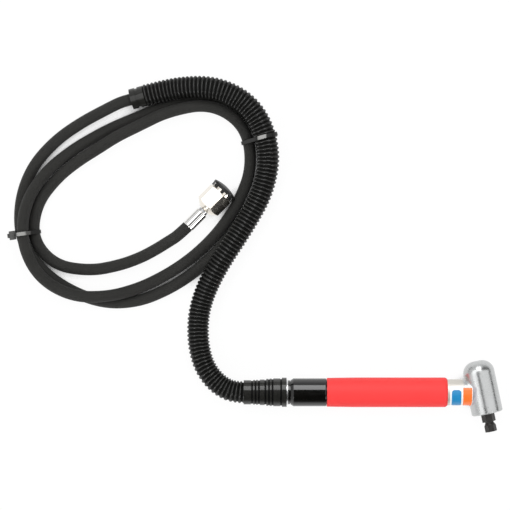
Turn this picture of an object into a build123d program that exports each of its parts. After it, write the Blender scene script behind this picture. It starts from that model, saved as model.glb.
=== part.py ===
from build123d import *
from math import acos, asin, atan2, cos, degrees, pi, radians, sin, sqrt, tan
import os

# Right angle die grinder, driven by air, with its exhaust hose and coiled air hose, in millimetres.
# The tool lies on its side on a table: +X runs along the body towards the head, +Y is the side
# that the dome points to, +Z is up. The origin is on the table, under the middle of the bare tool.

# Fits
fit_gap = 0.03          # radial gap of pieces that are pressed or screwed together
run_gap = 0.06          # radial gap of a running fit
end_gap = 0.4           # end play beside a turning piece

# Head
head_d = 30.7
head_tilt = 12.0        # lean of the spindle out of square to the body, degrees
head_up = 31.3          # body axis to the top of the dome, along the spindle
head_down = 21.0        # body axis to the head's mouth
dome_corner = 11.7      # rounding of the dome's shoulder
mouth_chamfer = 1.0
neck_d = 25.5           # neck that joins the head to the grip
neck_fillet = 2.4
neck_under_grip = 4.0   # neck length hidden by the grip
neck_spigot = 17.5      # spigot that the motor housing is screwed on
dome_wall = 5.5         # dome's top to the upper bearing
bearing_shoulder = 0.8  # step that each bearing in the head sits against
relief_depth = 1.2      # free room above the spindle's end
relief_step = 2.5
gear_room_gap = 1.0

# Handle
neck_reach = 35.1       # spindle axis to the grip's front end
grip_d = 29.0
grip_rear_d = 28.2
grip_length = 117.9
grip_taper = 26.0       # rear stretch over which the grip widens
grip_nose = 3.0         # rounding of the grip's front end
throttle_d = 27.5
throttle_wall = 2.75    # half the difference of the sleeve and the surface that it turns on
throttle_length = 35.6
throttle_nose = 1.2     # rounding of the throttle sleeve's front end
throttle_tail = 3.2     # length of the chamfer at its rear end
sleeve_lip = 0.2        # rise of the sleeve and the spigot's flange over the rear neck
rear_neck_step = 0.8    # rise of the rear neck over the surface that the sleeve turns on
rear_neck_length = 2.2

# Motor
motor_bore_d = 22.0
housing_inset = 4.0     # motor housing's rear end inside the grip
motor_gap = 0.1         # head's spigot to the motor's front plate
plate_thick = 4.5
cylinder_length = 46.0
cylinder_bore_d = 19.2
rotor_d = 17.2
rotor_offset = 0.9      # distance of the cylinder's bore from the rotor's axis
rotor_end_gap = 0.15
vane_count = 4
vane_thick = 1.6
vane_depth = 5.2
vane_first = 45.0       # bearing of the first vane, degrees
vane_end_gap = 0.3
vane_side_gap = 0.1
shaft_d = 8.0
tail_shaft_d = 6.0
pinion_seat_d = 6.0

# Bearings: bore, outside, width
front_bearing = (8.0, 19.0, 6.0)
rear_bearing = (6.0, 19.0, 6.0)
upper_bearing = (6.0, 15.0, 5.0)
lower_bearing = (8.0, 22.0, 7.0)
bearing_ring = 0.26     # ring thickness as a share of the bearing's section
shield_thick = 0.8
shield_gap = 0.2
bearing_clip = 2.0      # thickness of the threaded ring behind the front bearing
clip_wall = 2.0
pinion_shoulder = 2.0   # shaft between the pinion and the front bearing

# Bevel gears
pinion_teeth = 13
gear_teeth = 18
cone_distance = 13.4
tooth_width = 4.5
pressure_angle = 20.0
addendum = 0.95         # in modules
dedendum = 1.25
backlash = 0.16         # taken off each tooth at its heel
tooth_sink = 0.5        # depth of a tooth's foot inside the blank
pinion_hub = 4.0
gear_hub = 3.0
gear_face = 0.4         # step of the gear's hub before the teeth's toes
flank_foot = 0.9        # depth of the curved flank below the pitch cone, in modules

# Spindle and collet
spindle_d = 8.0
spindle_top_d = 6.0
spindle_collar_d = 10.0
lower_bearing_top = 6.8 # body axis to the lower bearing's upper face
gear_nut_thick = 3.2
gear_nut_flats = 11.0
nose_flats = 11.5
nose_length = 7.9
thread_d = 8.4
thread_length = 7.6
waist_length = 1.4      # bare thread that shows above the nut
nut_flats = 10.0
nut_length = 8.5
nut_cone_d = 8.9        # small end of the nut's rear cone
nut_cone = 2.6
collet_d = 5.8
collet_length = 19.0
collet_head_d = 7.2
collet_head = 0.9       # length of the collet's coned head
socket_room = 3.0       # free room behind the collet
shank_d = 3.0
slit_count = 3
slit_wide = 0.5
slit_deep = 9.0

# Throttle valve
spool_wall = 1.0        # spool's bore to the exhaust ports
spool_room = 1.3        # inlet fitting to the spool's bore
spool_bore_d = 6.0
spool_inset = 2.0       # spool's front end behind the throttle sleeve's
port_d = 3.6
port_inset = 14.0       # spool's front end to its port
pin_inset = 7.0         # spool's front end to the drive pin
pin_cover = 0.6         # sleeve left over the drive pin
pin_foot = 0.4          # spool left under the drive pin
slot_gap = 0.2
drive_pin_d = 3.0
throttle_travel = 45.0  # degrees
exhaust_port_d = 2.8
port_wall = 0.4         # exhaust ports to the seal rings' grooves
exhaust_ports = 5
exhaust_port_first = 60.0
ring_width = 1.6        # seal ring's groove
ring_depth = 1.3
ring_gap = 0.1
ring_front = 3.2        # sleeve's front end to the first seal ring
ring_rear = 6.0         # sleeve's rear end to the second

# Rear end
spigot_step = 1.4       # rear neck down to the spigot
spigot_wall = 1.3
spigot_length = 24.0
spigot_flange = 1.3
spigot_thread = 4.0
spigot_lead = 1.0
spigot_lead_step = 0.5
inlet_step = 0.5        # inlet's thread over the spool
inlet_thread = 7.0
inlet_hex_room = 1.0    # hexagon's corners to the spigot's bore
inlet_hex_thick = 4.0
inlet_gap = 0.5         # exhaust gap in front of the fitting's hexagon
barb_d = 6.4
barb_length = 20.0
barb_steps = 4
barb_rise = 0.5
barb_bore_d = 4.4
sleeve_wall = 0.7       # wall of the inlet's ferrule
inlet_ferrule_length = 17.0

# Hoses
air_hose_d = 11.0
hose_end_straight = 11.0
exhaust_crest_d = 21.5
exhaust_valley_d = 17.6
exhaust_bore_d = 15.8
bore_steps = 46         # straight lengths of the bore and of the air hose inside it
rib_count = 96
rib_crest = 0.36        # share of a rib's pitch that is crest
rib_flank = 0.22        # share of a rib's pitch that is one flank
corner_share = 0.45     # share of a run that the arc at its end may take
cuff_socket = 14.0      # length of exhaust hose held in the cuff
cuff_length = 42.0
cuff_groove = 0.7
cuff_front_bands = [    # start, end and rise over the spigot
    (0.0, 4.6, 4.0),
    (6.2, 13.0, 3.3),
    (14.6, 16.6, 3.1),
    (17.9, 19.9, 2.9),
    (21.6, 26.2, 2.2),
]
cuff_rear_bands = [     # start, end and rise over the exhaust hose
    (28.0, 29.8, 1.5),
    (31.0, 32.8, 1.4),
    (34.8, cuff_length, 1.2),
]
collar_length = 13.6
collar_d = 20.4
collar_band = 5.4
collar_groove = 1.0
collar_spigot = 9.0
collar_spigot_gap = 0.3
collar_wall = 3.0       # thickness of the collar's end wall
collar_air_gap = 1.4    # exhaust gap round the air hose
vent_d = 2.4
vent_count = 8

# Hose end
hose_end_x = -190.6
hose_end_y = 166.5
hose_end_z = 14.2
hose_end_heading = 45.0
ferrule_length = 19.6
ferrule_wall = 0.9
ferrule_lip = 2.0
ferrule_gap = 3.0       # ferrule to swivel nut
ferrule_edge = 0.5      # chamfer at both ends of the ferrule
stem_d = 6.0
stem_collar_d = 9.6     # collar that shows between the ferrule and the nut
stem_flange_d = 13.0
stem_flange = 3.0
stem_cone = 3.0
swivel_flats = 24.0
swivel_length = 23.2
swivel_cone = 5.6
swivel_cone_d = 12.0
swivel_lip_d = 23.0     # round lip before the nut's mouth
swivel_lip = 3.2
swivel_wall = 4.0       # thickness of the nut's rear wall
swivel_thread_d = 16.6
swivel_turn = -15.0     # bearing of the nut's flats as it lies, degrees
swivel_chamfer = 0.8    # length of the chamfer before the lip
cap_plug_d = 15.8
cap_plug_length = 8.0
cap_wall = 2.0
cap_floor = 1.5
cap_flange_d = 27.0
cap_flange = 2.4
cap_dome = 2.6          # rise of the cap's outer face
cap_tab_gap = 0.3       # tabs to the nut's lip
cap_tab_thick = 1.2
cap_tabs = 8
cap_notch = 6.8         # gap between two tabs
cap_notch_first = 22.5  # bearing of the first gap, degrees

# Cable ties
tie_width = 3.6
tie_thick = 1.1
tie_gap = 0.45
tie_head = 6.0
tie_head_wide = 7.0
tie_head_long = 4.4
left_tie_x = -347.0
left_tie_y = 160.0
left_tie_heading = -81.7 # run of the strands in the tie, degrees
right_tie_x = -123.0
right_tie_y = 252.0
right_tie_heading = 104.5
tie_search = 45.0       # half width in which a tie looks for strands
tie_samples = 1200

os.makedirs("parts", exist_ok=True)

# Widths that follow the throttle sleeve
valve_d = throttle_d - 2 * throttle_wall
rear_neck_d = valve_d + 2 * rear_neck_step
spigot_d = rear_neck_d - 2 * spigot_step
exhaust_port_circle = valve_d - 2 * ring_depth - exhaust_port_d - 2 * port_wall
spool_d = exhaust_port_circle - exhaust_port_d - 2 * spool_wall
inlet_d = spool_d + 2 * inlet_step
inlet_hex = (spigot_d / 2 - spigot_wall - inlet_hex_room) * sqrt(3)

# Stations along the body, measured forwards from where the spindle's axis crosses it
head_r = head_d / 2
grip_front = -neck_reach
grip_rear = grip_front - grip_length
throttle_front = grip_rear - end_gap
throttle_rear = throttle_front - throttle_length
valve_rear = throttle_rear - rear_neck_length
spigot_rear = valve_rear - spigot_flange - spigot_length
neck_end = grip_front - neck_under_grip
motor_front = neck_end - neck_spigot - motor_gap
cylinder_front = motor_front - plate_thick
cylinder_rear = cylinder_front - cylinder_length
rear_plate_end = cylinder_rear - plate_thick
rear_bearing_end = rear_plate_end - rear_bearing[2]
motor_housing_rear = grip_rear + housing_inset
cuff_front = valve_rear - spigot_flange
cuff_rear = cuff_front - cuff_length

# Stations along the spindle, measured towards the collet
mouth = head_down
nose_top = mouth + end_gap
nose_end = nose_top + nose_length
thread_end = nose_end + thread_length
nut_top = nose_end + waist_length
nut_end = nut_top + nut_length
lower_bearing_end = lower_bearing_top + lower_bearing[2]

# Bevel gear geometry, both cones meeting where the axes cross
shaft_angle = radians(90 - head_tilt)
pinion_cone = atan2(sin(shaft_angle), gear_teeth / pinion_teeth + cos(shaft_angle))
gear_cone = shaft_angle - pinion_cone
module = 2 * cone_distance * sin(gear_cone) / gear_teeth
toe_scale = (cone_distance - tooth_width) / cone_distance
pinion_back = cone_distance * cos(pinion_cone) + dedendum * module * sin(pinion_cone)
gear_back = cone_distance * cos(gear_cone) + dedendum * module * sin(gear_cone)
pinion_end = pinion_back + pinion_hub
gear_top = gear_back + gear_hub
gear_toe = gear_back * toe_scale - gear_face
gear_nut_top = gear_top + gear_nut_thick
front_bearing_front = -pinion_end - pinion_shoulder
front_bearing_rear = front_bearing_front - front_bearing[2]
upper_bearing_end = -(head_up - dome_wall)
upper_bearing_front = upper_bearing_end + upper_bearing[2]

# The frame: the crossing of the two axes, seen from under the middle of the bare tool
tilt = radians(head_tilt)
front_reach = head_down * sin(tilt) + head_r * cos(tilt)
top_reach = (head_up - dome_corner) * cos(tilt) + (head_r - dome_corner) * sin(tilt) + dome_corner
nut_corner = nut_flats / sqrt(3)
low_reach = nut_end * cos(tilt) + nut_corner * sin(tilt)
cross_x = (-spigot_rear - front_reach) / 2
cross_y = (low_reach - top_reach) / 2
cross_z = max(head_d, grip_d) / 2
cross = Vector(cross_x, cross_y, cross_z)

# Drawing planes: local X runs along the turning axis, local Y is the radius
body_plane = Plane(origin=cross, x_dir=(1, 0, 0), z_dir=(0, 0, 1))
head_plane = Plane(origin=cross, x_dir=(sin(tilt), -cos(tilt), 0), z_dir=(0, 0, 1))
hose_end_dir = Vector(cos(radians(hose_end_heading)), sin(radians(hose_end_heading)), 0)
hose_end_plane = Plane(origin=(hose_end_x, hose_end_y, hose_end_z), x_dir=hose_end_dir, z_dir=(0, 0, 1))


def turn(plane, outline, mode=Mode.ADD):
    """Turn a closed outline of (along, radius) points about the plane's X axis."""
    with BuildSketch(plane) as profile:
        with BuildLine():
            Polyline(*outline, close=True)
        make_face()
    revolve(profile.sketch, axis=Axis(plane.origin, plane.x_dir), mode=mode)


def ring(plane, start, end, inner_r, outer_r, mode=Mode.ADD):
    """Turn a plain ring, or a disc where the inner radius is nought."""
    turn(plane, [(start, inner_r), (end, inner_r), (end, outer_r), (start, outer_r)], mode)


def across(plane, along):
    """The plane square to a turning axis; its X axis is the drawing plane's Y."""
    return Plane(origin=plane.from_local_coords(Vector(along, 0, 0)), x_dir=plane.y_dir, z_dir=plane.x_dir)


def hexagon(plane, start, end, flats, turned=0):
    """A hexagonal length with two flats parallel to the drawing plane, or turned from it."""
    with BuildSketch(across(plane, start)) as outline:
        RegularPolygon(flats / 2, 6, major_radius=False, rotation=turned)
    extrude(outline.sketch, amount=end - start)


def save(part, name):
    """Label a finished piece and write it."""
    part.label = name
    export_step(part, f"parts/{name}.step")


# Head housing: a domed barrel across a round neck, bored for the spindle and for the pinion
with BuildPart() as head_housing:
    with BuildSketch(head_plane):
        with BuildLine():
            Line((-head_up, 0), (-head_up, head_r - dome_corner))
            TangentArc((-head_up, head_r - dome_corner), (dome_corner - head_up, head_r), tangent=(0, 1))
            Polyline(
                (dome_corner - head_up, head_r),
                (mouth - mouth_chamfer, head_r),
                (mouth, head_r - mouth_chamfer),
                (mouth, 0),
                (-head_up, 0),
            )
        make_face()
    revolve(axis=Axis(head_plane.origin, head_plane.x_dir))
    barrel_edges = head_housing.edges()
    ring(body_plane, neck_end, 0, 0, neck_d / 2)
    new_edges = head_housing.edges() - barrel_edges
    saddle = [edge for edge in new_edges if edge.geom_type in (GeomType.OTHER, GeomType.BSPLINE)]
    fillet(saddle, neck_fillet)
    ring(body_plane, neck_end - neck_spigot, neck_end, 0, motor_bore_d / 2 - fit_gap)
    lower_r = lower_bearing[1] / 2 + fit_gap
    upper_r = upper_bearing[1] / 2 + fit_gap
    gear_room = -gear_nut_top - gear_room_gap
    ring(head_plane, gear_room, mouth, 0, lower_r, Mode.SUBTRACT)
    ring(head_plane, upper_bearing_end, gear_room, 0, upper_r, Mode.SUBTRACT)
    relief_end = upper_bearing_end - relief_depth
    ring(head_plane, relief_end, upper_bearing_end, 0, upper_r - relief_step, Mode.SUBTRACT)
    front_seat_r = front_bearing[1] / 2 + fit_gap
    ring(body_plane, front_bearing_front, 0, 0, front_seat_r - bearing_shoulder, Mode.SUBTRACT)
    ring(body_plane, neck_end - neck_spigot, front_bearing_front, 0, front_seat_r, Mode.SUBTRACT)
save(head_housing.part, "head_housing")

# Motor housing: a tube between the head's spigot and the valve housing, hidden by the grip
with BuildPart() as motor_housing:
    ring(body_plane, motor_housing_rear, neck_end, motor_bore_d / 2, neck_d / 2)
save(motor_housing.part, "motor_housing")

# Grip sleeve: rounded at the front, drawn in a little towards the throttle
with BuildPart() as grip_sleeve:
    grip_bore_r = neck_d / 2 + fit_gap
    with BuildSketch(body_plane):
        with BuildLine():
            Polyline(
                (grip_front - grip_nose, grip_d / 2),
                (grip_rear + grip_taper, grip_d / 2),
                (grip_rear, grip_rear_d / 2),
                (grip_rear, grip_bore_r),
                (grip_front, grip_bore_r),
            )
            TangentArc(
                (grip_front - grip_nose, grip_d / 2),
                (grip_front, grip_bore_r),
                tangent=(1, 0),
            )
        make_face()
    revolve(axis=Axis(body_plane.origin, body_plane.x_dir))
save(grip_sleeve.part, "grip_sleeve")

# Valve housing: the rear neck, the throttle's bearing surface and the spigot inside the motor housing
valve_r = valve_d / 2
sleeve_r = valve_r + run_gap
spool_front = throttle_front - spool_inset
hex_front = valve_rear + spigot_thread - inlet_gap
spool_rear = hex_front + inlet_thread + spool_room
pin_station = spool_front - pin_inset
port_station = spool_front - port_inset
ring_stations = (throttle_front - ring_front, throttle_rear + ring_rear)
slot_half = throttle_travel / 2
with BuildPart() as valve_housing:
    ring(body_plane, throttle_rear, throttle_front, 0, valve_r - fit_gap)
    ring(body_plane, throttle_front, rear_bearing_end, 0, motor_bore_d / 2 - fit_gap)
    ring(body_plane, valve_rear, throttle_rear, 0, rear_neck_d / 2)
    ring(body_plane, spool_rear, spool_front, 0, spool_d / 2 + run_gap, Mode.SUBTRACT)
    ring(body_plane, spool_front, rear_bearing_end, 0, spool_bore_d / 2, Mode.SUBTRACT)
    ring(body_plane, valve_rear, spool_rear, 0, inlet_d / 2 + fit_gap, Mode.SUBTRACT)
    thread_bore_r = spigot_d / 2 - spigot_wall / 2 + fit_gap
    ring(body_plane, valve_rear, valve_rear + spigot_thread, 0, thread_bore_r, Mode.SUBTRACT)
    for station in ring_stations:
        groove = station - ring_width / 2
        ring(body_plane, groove, groove + ring_width, valve_r - ring_depth, valve_r, Mode.SUBTRACT)
    with BuildSketch(across(body_plane, valve_rear)) as ports:
        with PolarLocations(
            exhaust_port_circle / 2,
            exhaust_ports,
            start_angle=exhaust_port_first,
            angular_range=360 - 2 * exhaust_port_first,
            endpoint=True,
        ):
            Circle(exhaust_port_d / 2)
    extrude(ports.sketch, amount=rear_bearing_end - valve_rear, mode=Mode.SUBTRACT)
    with BuildSketch(across(body_plane, pin_station - drive_pin_d / 2 - slot_gap)) as slot:
        with BuildLine():
            reach = valve_d
            edge = radians(slot_half) + asin((drive_pin_d / 2 + slot_gap) / (spool_d / 2))
            Polyline(
                (0, 0),
                (reach * cos(edge), reach * sin(edge)),
                (reach * 2, 0),
                (reach * cos(edge), -reach * sin(edge)),
                close=True,
            )
        make_face()
    extrude(slot.sketch, amount=drive_pin_d + 2 * slot_gap, mode=Mode.SUBTRACT)
save(valve_housing.part, "valve_housing")

# Throttle sleeve, its drive pin and the rotary valve spool that the pin turns
pin_angle = -slot_half
pin_dir = body_plane.y_dir.rotate(Axis((0, 0, 0), (1, 0, 0)), pin_angle)
pin_plane = Plane(origin=body_plane.from_local_coords(Vector(pin_station, 0, 0)), z_dir=pin_dir)
pin_top = throttle_d / 2 - pin_cover
pin_low = spool_bore_d / 2 + pin_foot
with BuildPart() as throttle_sleeve:
    with BuildSketch(body_plane):
        with BuildLine():
            Polyline(
                (throttle_front - throttle_nose, throttle_d / 2),
                (throttle_rear + throttle_tail, throttle_d / 2),
                (throttle_rear + end_gap, rear_neck_d / 2 + sleeve_lip),
                (throttle_rear + end_gap, sleeve_r),
                (throttle_front, sleeve_r),
                (throttle_front, throttle_d / 2 - throttle_nose),
            )
            TangentArc(
                (throttle_front - throttle_nose, throttle_d / 2),
                (throttle_front, throttle_d / 2 - throttle_nose),
                tangent=(1, 0),
            )
        make_face()
    revolve(axis=Axis(body_plane.origin, body_plane.x_dir))
    with BuildSketch(pin_plane.offset(pin_low)) as pin_hole:
        Circle(drive_pin_d / 2 + fit_gap)
    extrude(pin_hole.sketch, amount=pin_top - pin_low, mode=Mode.SUBTRACT)
save(throttle_sleeve.part, "throttle_sleeve")

with BuildPart() as throttle_pin:
    with BuildSketch(pin_plane.offset(pin_low)):
        Circle(drive_pin_d / 2)
    extrude(amount=pin_top - pin_low)
save(throttle_pin.part, "throttle_pin")

with BuildPart() as valve_spool:
    ring(body_plane, spool_rear + end_gap, spool_front - end_gap, 0, spool_d / 2)
    ring(body_plane, spool_rear, port_station + port_d, 0, spool_bore_d / 2, Mode.SUBTRACT)
    with BuildSketch(pin_plane.offset(pin_low)) as pin_hole:
        Circle(drive_pin_d / 2 + fit_gap)
    extrude(pin_hole.sketch, amount=spool_d, mode=Mode.SUBTRACT)
    with BuildSketch(Plane(body_plane.from_local_coords(Vector(port_station, 0, 0)), z_dir=-pin_dir)) as port:
        Circle(port_d / 2)
    extrude(port.sketch, amount=spool_d, mode=Mode.SUBTRACT)
save(valve_spool.part, "valve_spool")

# Square seal rings under the throttle sleeve
for number, station in enumerate(ring_stations, 1):
    with BuildPart() as throttle_ring:
        half_width = ring_width / 2 - ring_gap
        ring_low = valve_r - ring_depth + fit_gap
        ring(body_plane, station - half_width, station + half_width, ring_low, valve_r - fit_gap)
    save(throttle_ring.part, f"throttle_ring_{number}")

# Exhaust spigot: screwed into the valve housing, with a bright flange that shows before the cuff
with BuildPart() as exhaust_spigot:
    spigot_r = spigot_d / 2
    thread_r = spigot_r - spigot_wall / 2
    turn(body_plane, [
        (spigot_rear, spigot_r - spigot_wall),
        (valve_rear + spigot_thread, spigot_r - spigot_wall),
        (valve_rear + spigot_thread, thread_r),
        (valve_rear, thread_r),
        (valve_rear, rear_neck_d / 2 + sleeve_lip),
        (cuff_front, rear_neck_d / 2 + sleeve_lip),
        (cuff_front, spigot_r),
        (spigot_rear + spigot_lead, spigot_r),
        (spigot_rear, spigot_r - spigot_lead_step),
    ])
save(exhaust_spigot.part, "exhaust_spigot")

# Inlet fitting with its barb, and the ferrule that crimps the air hose on it
hex_rear = hex_front - inlet_hex_thick
barb_rear = hex_rear - barb_length
with BuildPart() as inlet_fitting:
    ring(body_plane, hex_front, hex_front + inlet_thread, 0, inlet_d / 2)
    hexagon(body_plane, hex_rear, hex_front, inlet_hex)
    barb_step = barb_length / barb_steps
    barb_r = barb_d / 2
    for step in range(barb_steps):
        start = hex_rear - step * barb_step
        end = start - barb_step
        turn(body_plane, [(start, 0), (start, barb_r), (end, barb_r - barb_rise), (end, 0)])
    ring(body_plane, barb_rear, hex_front + inlet_thread, 0, barb_bore_d / 2, Mode.SUBTRACT)
save(inlet_fitting.part, "inlet_fitting")

hose_r = air_hose_d / 2
with BuildPart() as inlet_ferrule:
    ring(body_plane, hex_rear - inlet_ferrule_length, hex_rear, hose_r + fit_gap, hose_r + sleeve_wall)
save(inlet_ferrule.part, "inlet_ferrule")

# Vane motor: end plates, cylinder with its eccentric bore, rotor and vanes
motor_r = motor_bore_d / 2 - fit_gap
with BuildPart() as front_end_plate:
    ring(body_plane, cylinder_front, motor_front, shaft_d / 2 + end_gap, motor_r)
save(front_end_plate.part, "front_end_plate")

with BuildPart() as rear_end_plate:
    ring(body_plane, rear_bearing_end, cylinder_rear, 0, motor_r)
    ring(body_plane, rear_bearing_end, rear_plate_end, 0, rear_bearing[1] / 2 + fit_gap, Mode.SUBTRACT)
    ring(body_plane, rear_plate_end, cylinder_rear, 0, tail_shaft_d / 2 + end_gap, Mode.SUBTRACT)
save(rear_end_plate.part, "rear_end_plate")

bore_plane = Plane(origin=cross + Vector(0, 0, rotor_offset), x_dir=(1, 0, 0), z_dir=(0, 0, 1))
with BuildPart() as motor_cylinder:
    ring(body_plane, cylinder_rear, cylinder_front, 0, motor_r)
    ring(bore_plane, cylinder_rear, cylinder_front, 0, cylinder_bore_d / 2, Mode.SUBTRACT)
save(motor_cylinder.part, "motor_cylinder")

rotor_rear = cylinder_rear + rotor_end_gap
rotor_front = cylinder_front - rotor_end_gap
rotor_r = rotor_d / 2
with BuildPart() as rotor:
    ring(body_plane, rotor_rear, rotor_front, 0, rotor_r)
    with BuildSketch(across(body_plane, rotor_rear)) as slots:
        with PolarLocations(rotor_r - vane_depth / 2, vane_count, start_angle=vane_first):
            Rectangle(vane_depth, vane_thick)
    extrude(slots.sketch, amount=rotor_front - rotor_rear, mode=Mode.SUBTRACT)
    ring(body_plane, rear_bearing_end, rotor_rear, 0, tail_shaft_d / 2)
    ring(body_plane, rotor_front, -pinion_end, 0, shaft_d / 2)
    ring(body_plane, -pinion_end, -pinion_back * toe_scale, 0, pinion_seat_d / 2)
save(rotor.part, "rotor")

vane_places = PolarLocations(rotor_r - vane_depth / 2, vane_count, start_angle=vane_first)
for number, place in enumerate(vane_places, 1):
    with BuildPart() as vane:
        with BuildSketch(across(body_plane, rotor_rear)) as blade:
            with Locations(place):
                Rectangle(vane_depth - vane_end_gap, vane_thick - vane_side_gap)
        extrude(blade.sketch, amount=rotor_front - rotor_rear)
    save(vane.part, f"vane_{number}")


def bearing(plane, start, sizes, name):
    """A shielded ball bearing as its two rings; the outer ring carries the shields."""
    inner_r = sizes[0] / 2 + fit_gap
    outer_r = sizes[1] / 2
    end = start + sizes[2]
    wall = (outer_r - inner_r) * bearing_ring
    with BuildPart() as inner:
        ring(plane, start, end, inner_r, inner_r + wall)
    save(inner.part, f"{name}_inner")
    lip = inner_r + wall + shield_gap
    with BuildPart() as outer:
        turn(plane, [
            (start, lip), (start, outer_r), (end, outer_r), (end, lip),
            (end - shield_thick, lip), (end - shield_thick, outer_r - wall),
            (start + shield_thick, outer_r - wall), (start + shield_thick, lip),
        ])
    save(outer.part, f"{name}_outer")


bearing(body_plane, front_bearing_rear, front_bearing, "front_bearing")
bearing(body_plane, rear_bearing_end, rear_bearing, "rear_bearing")
bearing(head_plane, upper_bearing_end, upper_bearing, "upper_bearing")
bearing(head_plane, lower_bearing_top, lower_bearing, "lower_bearing")

# Threaded rings that hold the front bearing in the neck and the lower one in the head's mouth
with BuildPart() as front_bearing_clip:
    clip_r = front_bearing[1] / 2
    ring(body_plane, front_bearing_rear - bearing_clip, front_bearing_rear, clip_r - clip_wall, clip_r)
save(front_bearing_clip.part, "front_bearing_clip")

with BuildPart() as bearing_retainer:
    ring(head_plane, lower_bearing_end, mouth, spindle_collar_d / 2 + end_gap, lower_bearing[1] / 2)
save(bearing_retainer.part, "bearing_retainer")


def involute(angle):
    """Involute function of an angle in radians."""
    return tan(angle) - angle


def tooth_outline(plane, cone, size):
    """One tooth of a bevel gear on its back cone, as a sketch scaled by size."""
    pitch_r = size * cone_distance * tan(cone)
    base_r = pitch_r * cos(radians(pressure_angle))
    mod = size * module
    root_r = pitch_r - dedendum * mod - tooth_sink * size
    tip_r = pitch_r + addendum * mod
    low_r = max(base_r, pitch_r - flank_foot * mod)
    half = pi * mod / 4 / pitch_r - backlash * size / 2 / pitch_r

    def flank(radius):
        turned = half + involute(radians(pressure_angle)) - involute(acos(min(1, base_r / radius)))
        return radius * sin(turned), radius * cos(turned) - pitch_r

    root_x = flank(low_r)[0]
    with BuildSketch(plane) as outline:
        with BuildLine():
            right = ThreePointArc(flank(low_r), flank((low_r + tip_r) / 2), flank(tip_r))
            top = Line(right @ 1, (-flank(tip_r)[0], flank(tip_r)[1]))
            middle = flank((low_r + tip_r) / 2)
            left = ThreePointArc(top @ 1, (-middle[0], middle[1]), (-flank(low_r)[0], flank(low_r)[1]))
            Polyline(left @ 1, (-root_x, root_r - pitch_r), (root_x, root_r - pitch_r), right @ 0)
        make_face()
    return outline.sketch


def bevel_tooth(cone):
    """One tooth about the Z axis, its cone's apex at the origin, in the middle of the X side."""
    element = Vector(sin(cone), 0, cos(cone))
    with BuildPart() as tooth:
        sections = []
        for size in (toe_scale, 1.0):
            heel = Plane(origin=element * (cone_distance * size), x_dir=(0, -1, 0), z_dir=element)
            sections.append(tooth_outline(heel, cone, size))
        loft(sections, ruled=True)
    return tooth.part


def root_radius(cone, size):
    """Radius of the blank under the teeth."""
    return size * (cone_distance * sin(cone) - dedendum * module * cos(cone))


# Pinion on the rotor's shaft, with a gap between two teeth on the line of mesh
pinion_plane = Plane(origin=cross, x_dir=(0, 1, 0), z_dir=(-1, 0, 0))
pinion_line = Plane(origin=cross, x_dir=(-1, 0, 0), z_dir=(0, 0, 1))
pinion_tooth = bevel_tooth(pinion_cone)
with BuildPart(pinion_plane) as pinion:
    pinion_bore = pinion_seat_d / 2 + fit_gap
    turn(pinion_line, [
        (pinion_back * toe_scale, pinion_bore),
        (pinion_back * toe_scale, root_radius(pinion_cone, toe_scale)),
        (pinion_back, root_radius(pinion_cone, 1)),
        (pinion_end, root_radius(pinion_cone, 1)),
        (pinion_end, pinion_bore),
    ])
    with PolarLocations(0, pinion_teeth, start_angle=180 / pinion_teeth):
        add(pinion_tooth)
save(pinion.part, "pinion")

# Bevel gear on the spindle, a tooth on the line of mesh
gear_plane = Plane(origin=cross, x_dir=-head_plane.y_dir, z_dir=-head_plane.x_dir)
gear_line = Plane(origin=cross, x_dir=-head_plane.x_dir, z_dir=(0, 0, 1))
gear_tooth = bevel_tooth(gear_cone)
with BuildPart(gear_plane) as bevel_gear:
    gear_bore = spindle_d / 2 + fit_gap
    turn(gear_line, [
        (gear_toe, gear_bore),
        (gear_toe, root_radius(gear_cone, toe_scale) - gear_face),
        (gear_back * toe_scale, root_radius(gear_cone, toe_scale)),
        (gear_back, root_radius(gear_cone, 1)),
        (gear_top, root_radius(gear_cone, 1)),
        (gear_top, gear_bore),
    ])
    with PolarLocations(0, gear_teeth):
        add(gear_tooth)
save(bevel_gear.part, "bevel_gear")

with BuildPart() as gear_nut:
    hexagon(head_plane, -gear_nut_top, -gear_top, gear_nut_flats)
    ring(head_plane, -gear_nut_top, -gear_top, 0, spindle_d / 2 + fit_gap, Mode.SUBTRACT)
save(gear_nut.part, "gear_nut")

with BuildPart() as spindle_spacer:
    ring(head_plane, -gear_toe, lower_bearing_top, spindle_d / 2 + fit_gap, spindle_collar_d / 2)
save(spindle_spacer.part, "spindle_spacer")

# Spindle: journals, collar, hexagonal nose and threaded end with the collet's socket
socket_r = collet_d / 2 + fit_gap
collet_end = thread_end + collet_head
collet_start = collet_end - collet_length
with BuildPart() as spindle:
    ring(head_plane, upper_bearing_end, upper_bearing_front, 0, spindle_top_d / 2)
    ring(head_plane, upper_bearing_front, lower_bearing_end, 0, spindle_d / 2)
    ring(head_plane, lower_bearing_end, nose_top, 0, spindle_collar_d / 2)
    hexagon(head_plane, nose_top, nose_end, nose_flats)
    ring(head_plane, nose_end, thread_end, 0, thread_d / 2)
    ring(head_plane, collet_start - socket_room, thread_end, 0, socket_r, Mode.SUBTRACT)
save(spindle.part, "spindle")

# Collet: a split sleeve whose coned head the nut presses in
with BuildPart() as collet:
    collet_r = collet_d / 2
    turn(head_plane, [
        (collet_start, shank_d / 2),
        (collet_start, collet_r),
        (thread_end, collet_r),
        (thread_end, collet_head_d / 2),
        (collet_end, collet_r),
        (collet_end, shank_d / 2),
    ])
    with BuildSketch(across(head_plane, collet_end)) as slits:
        with PolarLocations(collet_d / 2, slit_count):
            Rectangle(collet_d, slit_wide)
    extrude(slits.sketch, amount=-slit_deep, mode=Mode.SUBTRACT)
save(collet.part, "collet")

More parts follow.
